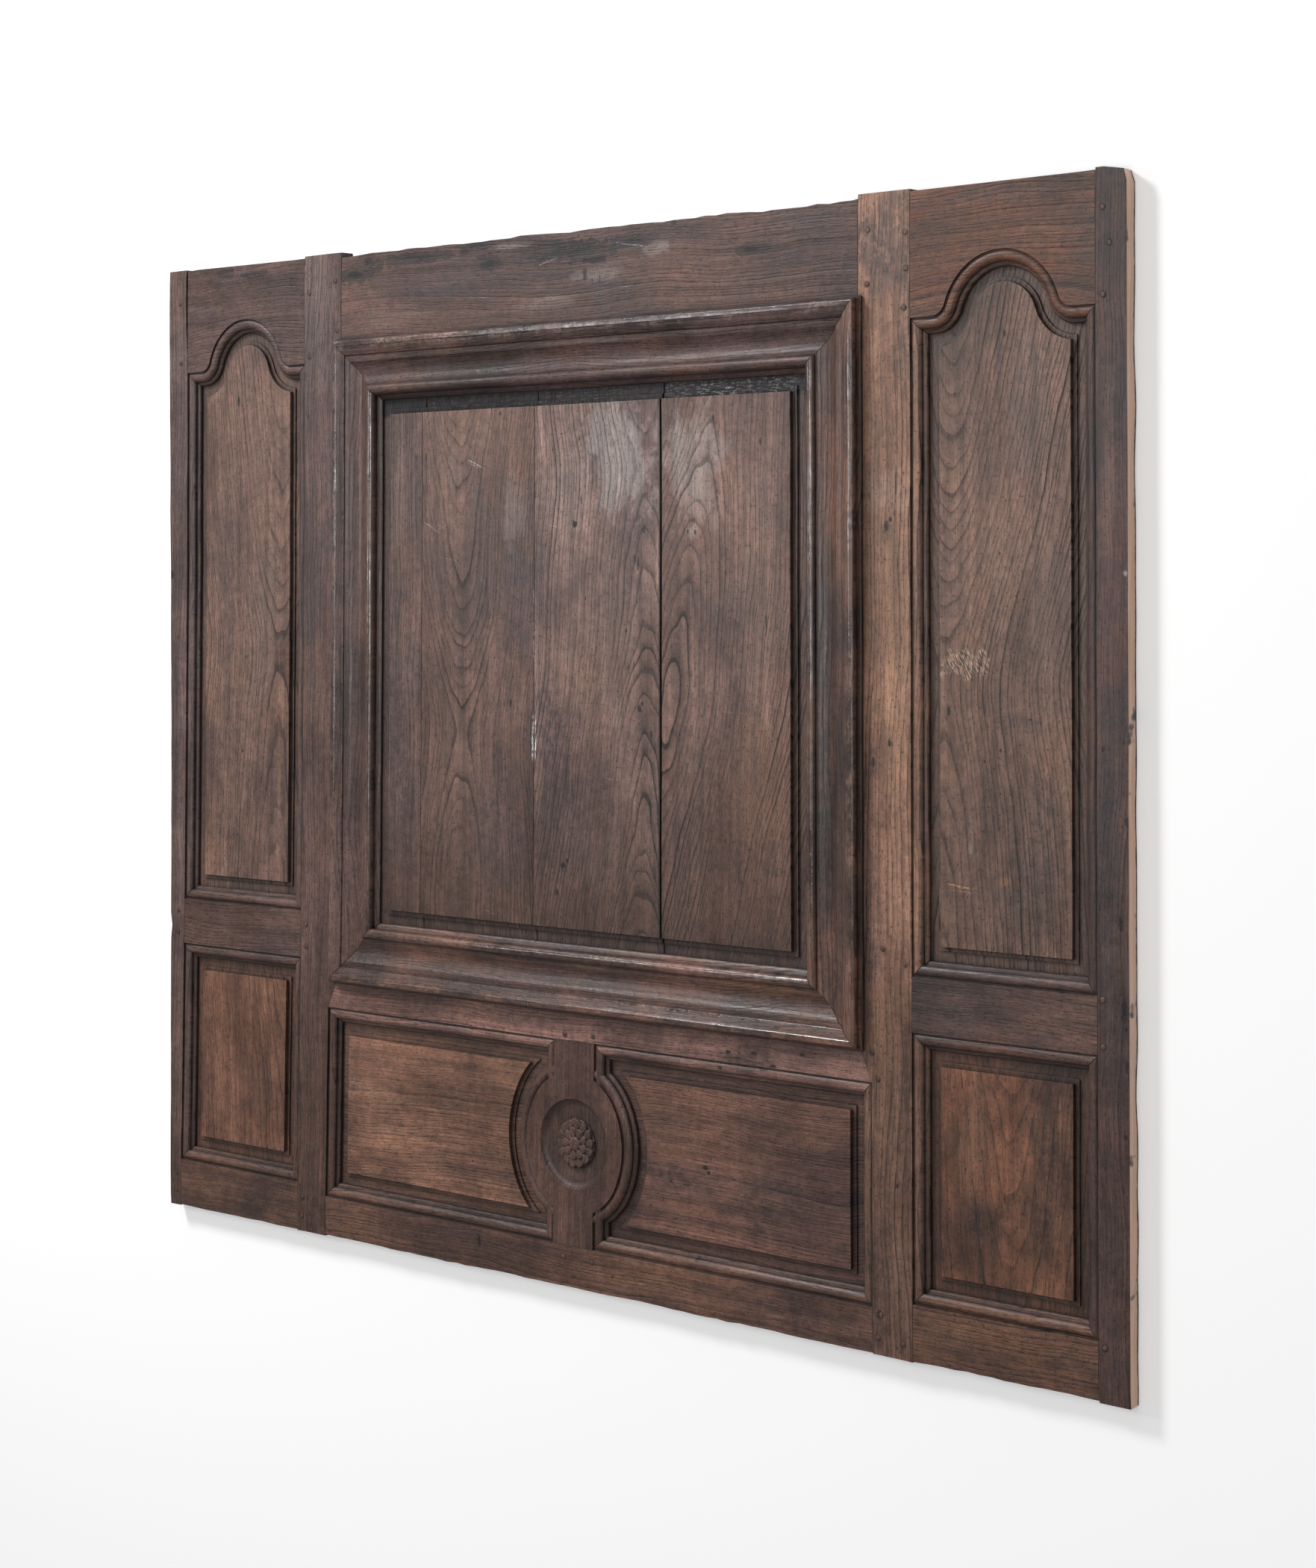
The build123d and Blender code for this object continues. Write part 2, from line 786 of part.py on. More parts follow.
def fielded(tongue_plan, ledge_plan, field_plan, low, margin, ledge, field):
    """Board with a thin edge for its groove, a narrow ledge and a raised field."""
    with BuildPart(mode=Mode.PRIVATE) as board:
        for plan, top in ((tongue_plan, margin), (ledge_plan, ledge), (field_plan, field)):
            with BuildSketch(Plane.XY.offset(low)):
                add(plan)
            extrude(amount=top - low)
    return board.part


tongue_inset = stuck_width - groove_depth + groove_end_gap
ledge_inset = stuck_width + margin_width
field_inset = ledge_inset + ledge_width
board_top = margin_level - groove_clearance


def side_panel(plans):
    """Side panel from a function that draws its outline at an inset."""
    return fielded(
        plans(tongue_inset),
        plans(ledge_inset),
        plans(field_inset),
        groove_low,
        board_top,
        board_top + ledge_rise,
        board_top + field_rise,
    )


def lower_side_outline(inset):
    """Lower side opening at an inset from its face edges."""
    return box_sketch(bay_left + inset, bay_right - inset, side_low + inset, side_mid_low - inset)


def upper_side_outline(inset):
    """Upper side opening, arched at the top, at an inset from its face edges."""
    return arched_opening(side_mid_high, inset).moved(Location((bay_middle, 0, 0)))


def lower_centre_outline(inset, side):
    """Lower centre opening left (-1) or right (1) of the muntin, cut back along its curve."""
    far = side * (-lower_edge - inset)
    with BuildSketch(mode=Mode.PRIVATE) as outline:
        add(
            box_sketch(
                min(far, muntin_shift), max(far, muntin_shift), centre_low + inset, centre_mid_low - inset
            )
        )
        add(muntin_outline(inset), mode=Mode.SUBTRACT)
    return outline.sketch


with BuildPart() as left_lower_panel:
    add(side_panel(lower_side_outline))

with BuildPart() as left_upper_panel:
    add(side_panel(upper_side_outline))

with BuildPart() as lower_centre_left_panel:
    add(side_panel(lambda inset: lower_centre_outline(inset, -1)))

with BuildPart() as lower_centre_right_panel:
    add(side_panel(lambda inset: lower_centre_outline(inset, 1)))

# Right side bay, the mirror of the left one
with BuildPart() as right_outer_stile:
    mirror(left_outer_stile.part, about=Plane.YZ)

with BuildPart() as right_inner_stile:
    mirror(left_inner_stile.part, about=Plane.YZ)

with BuildPart() as right_bottom_rail:
    mirror(left_bottom_rail.part, about=Plane.YZ)

with BuildPart() as right_mid_rail:
    mirror(left_mid_rail.part, about=Plane.YZ)

with BuildPart() as right_top_rail:
    mirror(left_top_rail.part, about=Plane.YZ)

with BuildPart() as right_lower_panel:
    mirror(left_lower_panel.part, about=Plane.YZ)

with BuildPart() as right_upper_panel:
    mirror(left_upper_panel.part, about=Plane.YZ)

# Centre panel, four boards held in the bolection moulding
sight_x = bolection_outer_x - bolection_width
sight_low = bolection_low + bolection_width
sight_high = bolection_high - bolection_width
centre_top = centre_groove_low + centre_groove_width - groove_clearance
centre_reach = groove_depth - groove_end_gap
board_edges = [-sight_x - centre_reach]
board_edges += [seam - half_width for seam in board_seams]
board_edges += [sight_x + centre_reach]


def centre_outline(inset, x_low, x_high):
    """Part of the centre panel between two seams, at an inset from the sight edge."""
    return box_sketch(
        max(x_low, -sight_x + inset), min(x_high, sight_x - inset), sight_low + inset, sight_high - inset
    )


def centre_board(number):
    """One board, with a tongue on its right edge that lies in the next board's groove."""
    x_low = board_edges[number]
    x_high = board_edges[number + 1]
    if number > 0:
        x_low += seam_gaps[number - 1]
    y_low = sight_low - centre_reach
    y_high = sight_high + centre_reach
    tongue_z = centre_groove_low + board_tongue_low
    plans = [
        centre_outline(inset, x_low, x_high)
        for inset in (-centre_reach, centre_margin_width, centre_margin_width + centre_ledge_width)
    ]
    with BuildPart(mode=Mode.PRIVATE) as board:
        add(
            fielded(
                *plans,
                centre_groove_low,
                centre_top,
                centre_top + centre_ledge_rise,
                centre_top + centre_field_rise,
            )
        )
        if number < len(board_seams):
            slot_block(
                x_high,
                x_high + seam_gaps[number] + board_tongue_length,
                y_low,
                y_high,
                tongue_z,
                board_tongue_thickness,
            )
        if number > 0:
            slot_block(
                x_low,
                x_low + board_tongue_length + groove_end_gap,
                y_low,
                y_high,
                tongue_z,
                board_tongue_thickness + groove_clearance,
                Mode.SUBTRACT,
            )
    return board.part


with BuildPart() as centre_board_1:
    add(centre_board(0))

with BuildPart() as centre_board_2:
    add(centre_board(1))

with BuildPart() as centre_board_3:
    add(centre_board(2))

with BuildPart() as centre_board_4:
    add(centre_board(3))

pieces = {
    "left_outer_stile": left_outer_stile,
    "left_inner_stile": left_inner_stile,
    "right_inner_stile": right_inner_stile,
    "right_outer_stile": right_outer_stile,
    "left_top_rail": left_top_rail,
    "left_mid_rail": left_mid_rail,
    "left_bottom_rail": left_bottom_rail,
    "right_top_rail": right_top_rail,
    "right_mid_rail": right_mid_rail,
    "right_bottom_rail": right_bottom_rail,
    "centre_top_rail": centre_top_rail,
    "centre_mid_rail": centre_mid_rail,
    "centre_bottom_rail": centre_bottom_rail,
    "medallion_muntin": medallion_muntin,
    "bolection_top": bolection_top,
    "bolection_bottom": bolection_bottom,
    "bolection_left": bolection_left,
    "bolection_right": bolection_right,
    "left_upper_panel": left_upper_panel,
    "left_lower_panel": left_lower_panel,
    "right_upper_panel": right_upper_panel,
    "right_lower_panel": right_lower_panel,
    "lower_centre_left_panel": lower_centre_left_panel,
    "lower_centre_right_panel": lower_centre_right_panel,
    "centre_board_1": centre_board_1,
    "centre_board_2": centre_board_2,
    "centre_board_3": centre_board_3,
    "centre_board_4": centre_board_4,
}

for name, piece in pieces.items():
    piece.part.label = name
    export_step(piece.part, f"parts/{name}.step")
    print(name, round(piece.part.volume / 1e6, 3), len(piece.part.solids()), piece.part.is_valid)
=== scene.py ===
"""Looks of the wainscot panel: aged, waxed oak on a pale floor, seen from the photograph's viewing angle."""
from math import ceil, cos, hypot, pi, radians, sin

import bmesh
import bpy
from mathutils import Matrix, Vector, noise
from mathutils.bvhtree import BVHTree


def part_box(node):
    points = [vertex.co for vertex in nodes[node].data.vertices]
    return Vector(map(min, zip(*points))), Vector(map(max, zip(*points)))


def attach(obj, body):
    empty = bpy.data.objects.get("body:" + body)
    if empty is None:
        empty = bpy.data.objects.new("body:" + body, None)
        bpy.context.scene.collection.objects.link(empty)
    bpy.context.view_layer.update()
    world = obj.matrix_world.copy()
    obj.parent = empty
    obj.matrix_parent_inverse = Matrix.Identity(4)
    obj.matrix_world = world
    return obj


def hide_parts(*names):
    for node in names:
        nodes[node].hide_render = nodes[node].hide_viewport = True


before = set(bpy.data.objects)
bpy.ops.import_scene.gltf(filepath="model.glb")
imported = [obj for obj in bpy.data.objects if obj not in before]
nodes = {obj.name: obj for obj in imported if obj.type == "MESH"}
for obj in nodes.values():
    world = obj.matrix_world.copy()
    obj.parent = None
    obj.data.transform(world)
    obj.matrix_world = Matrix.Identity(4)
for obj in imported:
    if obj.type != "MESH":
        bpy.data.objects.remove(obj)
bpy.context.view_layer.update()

# Half sizes of the panel and the level of the frame's face, in metres
HALF_X = 1.2
HALF_Y = 1.0
FACE_Z = 0.032

# Racking of the left part: most at its foot, none beyond LEAN_END across
LEAN = 0.028
LEAN_START = 0.54
LEAN_END = 1.9

# Tones of marks and stains, and of painted sheen and painted shade, as display values
WARM = (122, 84, 62)
INK = (20, 16, 17)
PURPLE = (84, 68, 69)
PALE_MARK_AND_SHEEN = (156, 140, 134)
TAN = (150, 112, 88)
BARE = (205, 150, 112)
CHALK = (205, 205, 205)
RAW_WOOD = (228, 188, 163)
MARGIN_SHADE = (30, 26, 27)
MARGIN_CHALK = (176, 176, 180)

# Levels below which a sunk face gets a darker tone, painted shade and grime, and the level of the bolection's crest,
# painted paler as wear and highlight
FRAME_LOW = 0.029
PANEL_LOW = 0.0185
BOARD_LOW = 0.033
CREST_LEVEL = 0.0545

# Where the painted shade on the centre boards' top margin starts and is full, up the face
MARGIN_START = 0.655
MARGIN_FULL = 0.665

# Rings of a quarter-sawn piece
PLAIN_RINGS = (-1.6, 0.0, 0.3, 0.01, 0.0, 1.0)

# Roughness of the coat of wax, and of one rubbed bright
WAX_ROUGH = 0.28
RUBBED_ROUGH = 0.14


def uv(u, v):
    """Frame position from millimetres measured across and up the face."""
    return (u / 1000 - HALF_X, v / 1000 - HALF_Y)


# Helpers for procedural materials

def rgb(red, green, blue):
    """Linear colour from 0-255 display values."""
    out = []
    for value in (red, green, blue):
        value /= 255
        out.append(value / 12.92 if value <= 0.04045 else ((value + 0.055) / 1.055) ** 2.4)
    return (*out, 1.0)


class Tree:
    """A node tree being written, with one short call per node."""

    def __init__(self, tree):
        self.tree = tree

    def put(self, socket, value):
        if isinstance(value, bpy.types.NodeSocket):
            self.tree.links.new(value, socket)
        elif value is not None:
            socket.default_value = value

    def fill(self, sockets, values):
        for socket, value in zip(sockets, values):
            self.put(socket, value)

    def new(self, kind):
        return self.tree.nodes.new("ShaderNode" + kind)

    def math(self, operation, a, b=None, c=None):
        node = self.new("Math")
        node.operation = operation
        self.fill(node.inputs, (a, b, c))
        return node.outputs[0]

    def add(self, a, b):
        return self.math("ADD", a, b)

    def sub(self, a, b):
        return self.math("SUBTRACT", a, b)

    def mul(self, a, b):
        return self.math("MULTIPLY", a, b)

    def muladd(self, a, b, c):
        return self.math("MULTIPLY_ADD", a, b, c)

    def swing(self, wave, amount, value):
        """A value moved both ways by a noise."""
        return self.muladd(self.sub(wave, 0.5), amount, value)

    def distance(self, a, b):
        return self.math("SQRT", self.muladd(a, a, self.mul(b, b)))

    def split(self, vector):
        node = self.new("SeparateXYZ")
        self.put(node.inputs[0], vector)
        return node.outputs

    def join(self, x, y, z=0.0):
        node = self.new("CombineXYZ")
        self.fill(node.inputs, (x, y, z))
        return node.outputs[0]

    def noise(self, vector, scale, detail=2.0, rough=0.5, dimensions="3D"):
        node = self.new("TexNoise")
        node.noise_dimensions = dimensions
        self.put(node.inputs["W" if dimensions == "1D" else "Vector"], vector)
        node.inputs["Scale"].default_value = scale
        node.inputs["Detail"].default_value = detail
        node.inputs["Roughness"].default_value = rough
        return node.outputs[0]

    def flat_noise(self, x, y, detail, rough=0.5):
        return self.noise(self.join(x, y), 1.0, detail, rough, "2D")

    def fit(self, value, low, high, to_low=0.0, to_high=1.0, smooth=True):
        node = self.new("MapRange")
        node.interpolation_type = "SMOOTHSTEP" if smooth else "LINEAR"
        for name, given in (("Value", value), ("From Min", low), ("From Max", high), ("To Min", to_low),
                            ("To Max", to_high)):
            self.put(node.inputs[name], given)
        return node.outputs[0]

    def mix(self, factor, a, b, blend="MIX"):
        node = self.new("Mix")
        node.data_type = "RGBA"
        node.blend_type = blend
        self.fill((node.inputs[0], *node.inputs[6:8]), (factor, a, b))
        return node.outputs[2]

    def mix_value(self, factor, a, b):
        node = self.new("Mix")
        node.data_type = "FLOAT"
        self.fill((node.inputs[0], *node.inputs[2:4]), (factor, a, b))
        return node.outputs[0]

    def crevice(self, distance, samples):
        node = self.new("AmbientOcclusion")
        node.samples = samples
        node.inputs["Distance"].default_value = distance
        return node.outputs["AO"]

    def bump(self, height, strength, distance):
        node = self.new("Bump")
        node.inputs["Strength"].default_value = strength
        node.inputs["Distance"].default_value = distance
        self.put(node.inputs["Height"], height)
        return node.outputs[0]

    def use(self, group, **values):
        """One node of a shared group, its inputs set by name."""
        node = self.new("Group")
        node.node_tree = group
        for name, value in values.items():
            self.put(node.inputs[name], value)
        return node.outputs


class Material(Tree):
    """A new material and its tree."""

    def __init__(self, name):
        self.material = bpy.data.materials.new(name)
        self.material.use_nodes = True
        super().__init__(self.material.node_tree)
        self.tree.nodes.clear()
        self.out = self.new("OutputMaterial")

    def place(self):
        return self.new("TexCoord").outputs["Object"]

    def surface(self, colour, roughness, normal=None, coat=0.0, **fixed):
        node = self.new("BsdfPrincipled")
        self.put(node.inputs["Base Color"], colour)
        self.put(node.inputs["Roughness"], roughness)
        self.put(node.inputs["Coat Weight"], coat)
        if normal is not None:
            self.put(node.inputs["Normal"], normal)
        for name, value in fixed.items():
            node.inputs[name.replace("_", " ")].default_value = value
        self.put(self.out.inputs["Surface"], node.outputs[0])
        return self.material


class Group(Tree):
    """A shared group of nodes. Names in colours are colour sockets, and the rest are numbers."""

    def __init__(self, name, inputs, outputs, colours=()):
        super().__init__(bpy.data.node_groups.new(name, "ShaderNodeTree"))
        for side, names in (("INPUT", inputs), ("OUTPUT", outputs)):
            for socket in names:
                kind = "NodeSocketColor" if socket in colours else "NodeSocketFloat"
                self.tree.interface.new_socket(socket, in_out=side, socket_type=kind)
        self.given = self.tree.nodes.new("NodeGroupInput").outputs
        self.result = self.tree.nodes.new("NodeGroupOutput").inputs

    def finish(self, **values):
        for name, value in values.items():
            self.put(self.result[name], value)
        return self.tree


RING_INPUTS = ("middle", "tilt", "depth", "slope", "turn", "bias")


def grain_group():
    """Rings, pores, fibres and mottling of oak, from its place across and along the grain."""
    g = Group(
        "oak_grain",
        ("across", "length", "z", "seed", *RING_INPUTS, "spacing", "lines", "pores", "mottle", "red", "light",
         "deep"),
        ("colour", "value", "height", "early", "kink", "wave", "fibre", "cloud", "patch", "grime", "speck"),
        ("light", "deep", "colour"),
    )
    given = g.given
    across, length, z, seed = given[:4]
    a = g.muladd(seed, 1.37, g.muladd(z, 0.37, across))
    b = g.muladd(seed, 0.51, length)

    def waves(scale_a, scale_b, detail=0.0, rough=0.5):
        return g.flat_noise(g.mul(a, scale_a), g.mul(b, scale_b), detail, rough)

    sway = waves(2.2, 1.1)
    kink = waves(15.0, 5.0, 1.0, 0.55)
    wave = waves(44.0, 14.0)
    side = g.sub(across, given["middle"])
    side = g.sub(side, g.mul(length, given["tilt"]))
    side = g.swing(sway, 0.045, side)
    side = g.swing(kink, 0.012, side)
    down = g.add(z, given["depth"])
    off = g.sub(length, given["turn"])
    bend = g.math("SQRT", g.muladd(off, off, 0.0012))
    reach = g.mul(g.mix_value(given["bias"], bend, off), given["slope"])
    ring = g.sub(g.distance(side, down), reach)
    ring = g.swing(wave, 0.0034, ring)
    drift = g.flat_noise(g.mul(a, 1.5), g.muladd(b, 3.2, 7.0), 0.0)
    ring = g.swing(drift, 0.030, ring)
    count = g.math("DIVIDE", ring, given["spacing"])
    uneven = g.noise(g.muladd(count, 0.3, seed), 1.0, 1.0, 0.5, "1D")
    count = g.muladd(uneven, 2.2, count)
    phase = g.math("FRACT", count)
    year = g.noise(g.muladd(g.math("FLOOR", count), 3.7, seed), 1.0, 0.0, 0.5, "1D")
    sharp = g.mul(g.fit(phase, 0.0, 0.04), g.fit(phase, 0.12, 0.28, 1.0, 0.0))
    shade = g.mul(g.fit(phase, 0.0, 0.04), g.fit(phase, 0.05, 0.75, 0.48, 0.0))
    early = g.math("MAXIMUM", sharp, shade)
    loud = g.flat_noise(g.mul(a, 6.0), g.muladd(b, 1.9, 3.0), 0.0)
    early = g.mul(early, g.mul(g.fit(loud, 0.3, 0.7, 0.60, 1.0), g.fit(year, 0.3, 0.7, 0.50, 1.0)))

    pore = g.fit(waves(430.0, 60.0), 0.54, 0.64)
    pore = g.mul(pore, g.muladd(early, 0.75, 0.25))
    fibre = waves(260.0, 6.0, 2.0, 0.7)
    streak = waves(46.0, 2.2, 2.0, 0.62)
    cloud = waves(4.4, 2.9, 3.0, 0.62)
    patch = waves(15.0, 11.0, 3.0, 0.70)
    grime = g.flat_noise(g.muladd(a, 60.0, 9.0), g.mul(b, 46.0), 2.0, 0.72)
    speck = g.flat_noise(g.muladd(a, 260.0, 5.0), g.mul(b, 170.0), 0.0)
    rust = g.flat_noise(g.muladd(a, 4.6, 31.0), g.mul(b, 2.2), 2.0, 0.72)

    colour = g.mix(g.fit(cloud, 0.36, 0.64), given["deep"], given["light"])
    colour = g.mix(g.mul(g.fit(rust, 0.46, 0.68), given["red"]), colour, rgb(*WARM))
    value = g.fit(streak, 0.25, 0.75, 0.72, 1.30, smooth=False)
    value = g.mul(value, g.fit(fibre, 0.2, 0.8, 0.74, 1.26, smooth=False))
    uneven_tone = g.mul(g.sub(patch, 0.5), g.mul(given["mottle"], 2.2))
    value = g.mul(value, g.math("MAXIMUM", g.add(uneven_tone, 1.0), 0.4))
    value = g.sub(value, g.mul(value, g.mul(early, given["lines"])))
    value = g.sub(value, g.mul(value, g.mul(pore, given["pores"])))
    value = g.mul(value, g.fit(grime, 0.30, 0.74, 1.08, 0.76))
    value = g.mul(value, g.fit(speck, 0.74, 0.80, 1.0, 0.45))

    height = g.mul(early, -0.7)
    height = g.muladd(pore, -0.6, height)
    height = g.muladd(fibre, 0.6, height)
    height = g.muladd(grime, 1.2, height)
    return g.finish(colour=colour, value=value, height=height, early=early, kink=kink, wave=wave, fibre=fibre,
                    cloud=cloud, patch=patch, grime=grime, speck=speck)


def reach_of(g):
    """Distance from a patch's centre in half sizes, its edge moved by a wander."""
    dx = g.math("DIVIDE", g.sub(g.given["x"], g.given["at_x"]), g.given["half_x"])
    dy = g.math("DIVIDE", g.sub(g.given["y"], g.given["at_y"]), g.given["half_y"])
    return g.add(g.distance(dx, dy), g.given["wander"])


PATCH_INPUTS = ("x", "y", "at_x", "at_y", "half_x", "half_y", "wander")


def patch_at(u, v, wide, high):
    """Place and half sizes of a patch, from millimetres on the face."""
    at_x, at_y = uv(u, v)
    return dict(at_x=at_x, at_y=at_y, half_x=wide / 1000, half_y=high / 1000)


def stain_group():
    """A ragged patch of another tone."""
    g = Group("stain", (*PATCH_INPUTS, "low", "high", "texture", "tone", "amount", "colour"), ("colour",),
              ("tone", "colour"))
    mask = g.fit(reach_of(g), g.given["low"], g.given["high"], 1.0, 0.0)
    mask = g.mul(g.mul(mask, g.given["texture"]), g.given["amount"])
    return g.finish(colour=g.mix(mask, g.given["colour"], g.given["tone"]))


def spot_group():
    """A small dark hole or knot."""
    g = Group("spot", (*PATCH_INPUTS, "value"), ("value",))
    mask = g.fit(reach_of(g), 0.7, 1.3, 1.0, 0.0)
    return g.finish(value=g.mul(g.given["value"], g.muladd(mask, -0.86, 1.0)))


def scratch_group():
    """A thin broken line of another tone."""
    g = Group("scratch", ("x", "y", "at_x", "at_y", "run_x", "run_y", "half", "wide", "wave", "tone", "amount",
                          "colour"), ("colour",), ("tone", "colour"))
    given = g.given
    dx = g.sub(given["x"], given["at_x"])
    dy = g.sub(given["y"], given["at_y"])
    run = g.muladd(dx, given["run_x"], g.mul(dy, given["run_y"]))
    aside = g.sub(g.mul(dy, given["run_x"]), g.mul(dx, given["run_y"]))
    aside = g.muladd(g.mul(g.sub(given["wave"], 0.5), 2.5), given["wide"], aside)
    thin = g.fit(g.math("DIVIDE", g.math("ABSOLUTE", aside), given["wide"]), 0.3, 1.0, 1.0, 0.0)
    short = g.fit(g.math("DIVIDE", g.math("ABSOLUTE", run), given["half"]), 0.6, 1.0, 1.0, 0.0)
    broken = g.fit(g.flat_noise(g.mul(run, 130.0), g.mul(aside, 300.0), 1.0), 0.36, 0.56)
    mask = g.mul(g.mul(thin, short), g.mul(broken, given["amount"]))
    return g.finish(colour=g.mix(mask, given["colour"], given["tone"]))


def straighten_group():
    """X of a point before its piece was racked."""
    g = Group("straighten", ("x", "y"), ("x",))
    low = g.math("MAXIMUM", g.muladd(g.given["y"], -0.5, 0.5), 0.0)
    fall = g.mul(g.mul(low, low), LEAN)
    share = g.fit(g.muladd(fall, 0.5, g.given["x"]), LEAN_START - HALF_X, LEAN_END - HALF_X, 1.0, 0.0)
    return g.finish(x=g.muladd(fall, share, g.given["x"]))


GRAIN = grain_group()
STAIN = stain_group()
SPOT = spot_group()
SCRATCH = scratch_group()
STRAIGHTEN = straighten_group()


def oak(name, seed, along, light, deep, rings=PLAIN_RINGS, lines=0.5, spacing=0.0075, fade=None, blots=(),
        marks=(), scratches=(), splinters=(), gloss=0.46, red=0.25, crest=None, raw_side=False, coat=0.04,
        grime_and_shade=0.22, pores=0.55, mottle=0.30, sunk=None, chalky=0.0, polish=(), shine=0.38):
    """Old waxed oak with its grain along X or Y.

    rings = (middle, tilt, depth, slope, turn, bias) shapes the cathedrals: tips point down above the turn
    and up below it, or the other way with a negative slope, and a bias of 1 keeps only one of the two.
    fade = (from, to, tone, amount) paints shade on its low end, sunk = (level, tone, amount) paints shade and grime
    on what lies below a level.
    In millimetres on the face: marks = (u, v, half width, half height), blots add a tone and an amount,
    splinters add a tone, and scratches = (u, v, u, v, half width, tone, amount).
    """
    t = Material(name)
    x, y, z = t.split(t.place())
    x = t.use(STRAIGHTEN, x=x, y=y)["x"]
    across, length = (x, y) if along == "Y" else (y, x)
    colour, value, height, early, kink, wave, fibre, cloud, patch, grime, speck = t.use(
        GRAIN, across=across, length=length, z=z, seed=float(seed), spacing=spacing, lines=lines, pores=pores,
        mottle=mottle, red=red, light=rgb(*light), deep=rgb(*deep), **dict(zip(RING_INPUTS, rings)),
    )
    # Painted shade: the piece grows darker towards its low end
    if fade:
        low, high, tone, amount = fade
        colour = t.mix(t.fit(length if along == "Y" else x, low, high, amount, 0.0), colour, rgb(*tone))

    if blots:
        wander = t.swing(patch, 2.2, t.swing(grime, 1.1, t.mul(t.sub(kink, 0.5), 1.2)))
        texture = t.fit(grime, 0.30, 0.62, 0.45, 1.0)
        ragged = dict(wander=wander, texture=texture, low=0.5, high=1.5)
        steady = t.swing(grime, 2.2, t.mul(t.sub(patch, 0.5), 1.2))
        dense = t.fit(fibre, 0.25, 0.60, 1.0, 0.70)
        inky = dict(wander=steady, texture=dense, low=0.90, high=1.20)
    for u, v, wide, high, tone, amount in blots:
        colour = t.use(STAIN, x=x, y=y, tone=rgb(*tone), amount=amount, colour=colour, **patch_at(u, v, wide, high),
                       **(inky if tone == INK else ragged))["colour"]
    # Painted shade and grime: faces below the level get a darker tone
    if sunk:
        level, tone, amount = sunk
        low_part = t.fit(z, level - 0.001, level, 1.0, 0.0)
        colour = t.mix(t.mul(low_part, t.fit(patch, 0.3, 0.6, 0.5 * amount, amount)), colour, rgb(*tone))
        if chalky:
            # Painted shade on the boards' top margin under the top rail, with chalk smeared over it
            top_part = t.mul(low_part, t.fit(y, MARGIN_START, MARGIN_FULL))
            colour = t.mix(t.mul(top_part, 0.95), colour, rgb(*MARGIN_SHADE))
            smear = t.flat_noise(t.mul(x, 60.0), t.mul(y, 260.0), 3.0, 0.7)
            smear = t.mul(t.fit(smear, 0.48, 0.66), t.fit(cloud, 0.40, 0.55, 0.4, 1.0))
            colour = t.mix(t.mul(t.mul(top_part, smear), chalky), colour, rgb(*MARGIN_CHALK))
    if marks or splinters:
        fine = t.swing(grime, 1.7, t.mul(t.sub(speck, 0.5), 0.6))
    for mark in marks:
        value = t.use(SPOT, x=x, y=y, wander=fine, value=value, **patch_at(*mark))["value"]
    for *ends, wide, tone, amount in scratches:
        start_at, end_at = uv(*ends[:2]), uv(*ends[2:])
        run_of = Vector((end_at[0] - start_at[0], end_at[1] - start_at[1]))
        half = run_of.length / 2
        run_of.normalize()
        colour = t.use(SCRATCH, x=x, y=y, at_x=(start_at[0] + end_at[0]) / 2, at_y=(start_at[1] + end_at[1]) / 2,
                       run_x=run_of.x, run_y=run_of.y, half=half, wide=wide / 1000, wave=wave, tone=rgb(*tone),
                       amount=amount, colour=colour)["colour"]
    for *where, light_tone in splinters:
        at = patch_at(*where)
        dx = t.mul(t.sub(x, at["at_x"]), 1 / at["half_x"])
        dy = t.mul(t.sub(y, at["at_y"]), 1 / at["half_y"])
        reach = t.add(t.distance(dx, dy), t.swing(wave, 1.6, fine))
        mask = t.fit(reach, 0.75, 1.25, 1.0, 0.0)
        torn = t.flat_noise(t.mul(t.muladd(y, 0.55, x), 300.0), t.mul(y, 70.0), 2.0, 0.65)
        colour = t.mix(t.mul(mask, 0.85), colour, rgb(*light_tone))
        value = t.mul(value, t.mix_value(mask, 1.0, t.fit(torn, 0.42, 0.56, 0.22, 1.15)))

    # Painted shade: the colour is darkened where ambient occlusion finds surfaces close by, in creases and recesses,
    # standing also for grime there, and more broadly near raised parts
    near = t.crevice(distance=0.012, samples=2)
    wide_open = t.crevice(distance=0.045, samples=1)
    value = t.mul(value, t.fit(near, 0.25, 0.95, grime_and_shade, 1.0))
    value = t.mul(value, t.fit(wide_open, 0.35, 1.0, 0.60, 1.0))
    # Painted highlight and wear: the crest gets a paler tone and is made brighter in patches
    if crest:
        tone, amount = crest
        worn = t.mul(t.fit(z, CREST_LEVEL - 0.005, CREST_LEVEL), t.fit(patch, 0.46, 0.60))
        worn = t.mul(worn, t.fit(grime, 0.40, 0.58))
        colour = t.mix(t.mul(worn, amount), colour, rgb(*tone))
        value = t.mul(value, t.muladd(worn, 0.35 * amount, 1.0))
    if raw_side:
        facing = t.split(t.new("NewGeometry").outputs["Normal"])[0]
        bare = t.mul(t.fit(facing, 0.60, 0.80), t.fit(t.swing(grime, 0.006, z), 0.003, 0.006))
        bare = t.mul(bare, t.fit(patch, 0.26, 0.36))
        colour = t.mix(t.mul(bare, 0.95), colour, rgb(*RAW_WOOD))
        value = t.mix_value(bare, value, t.fit(fibre, 0.2, 0.8, 0.84, 1.12))
    colour = t.mix(1.0, colour, t.join(value, value, value), "MULTIPLY")

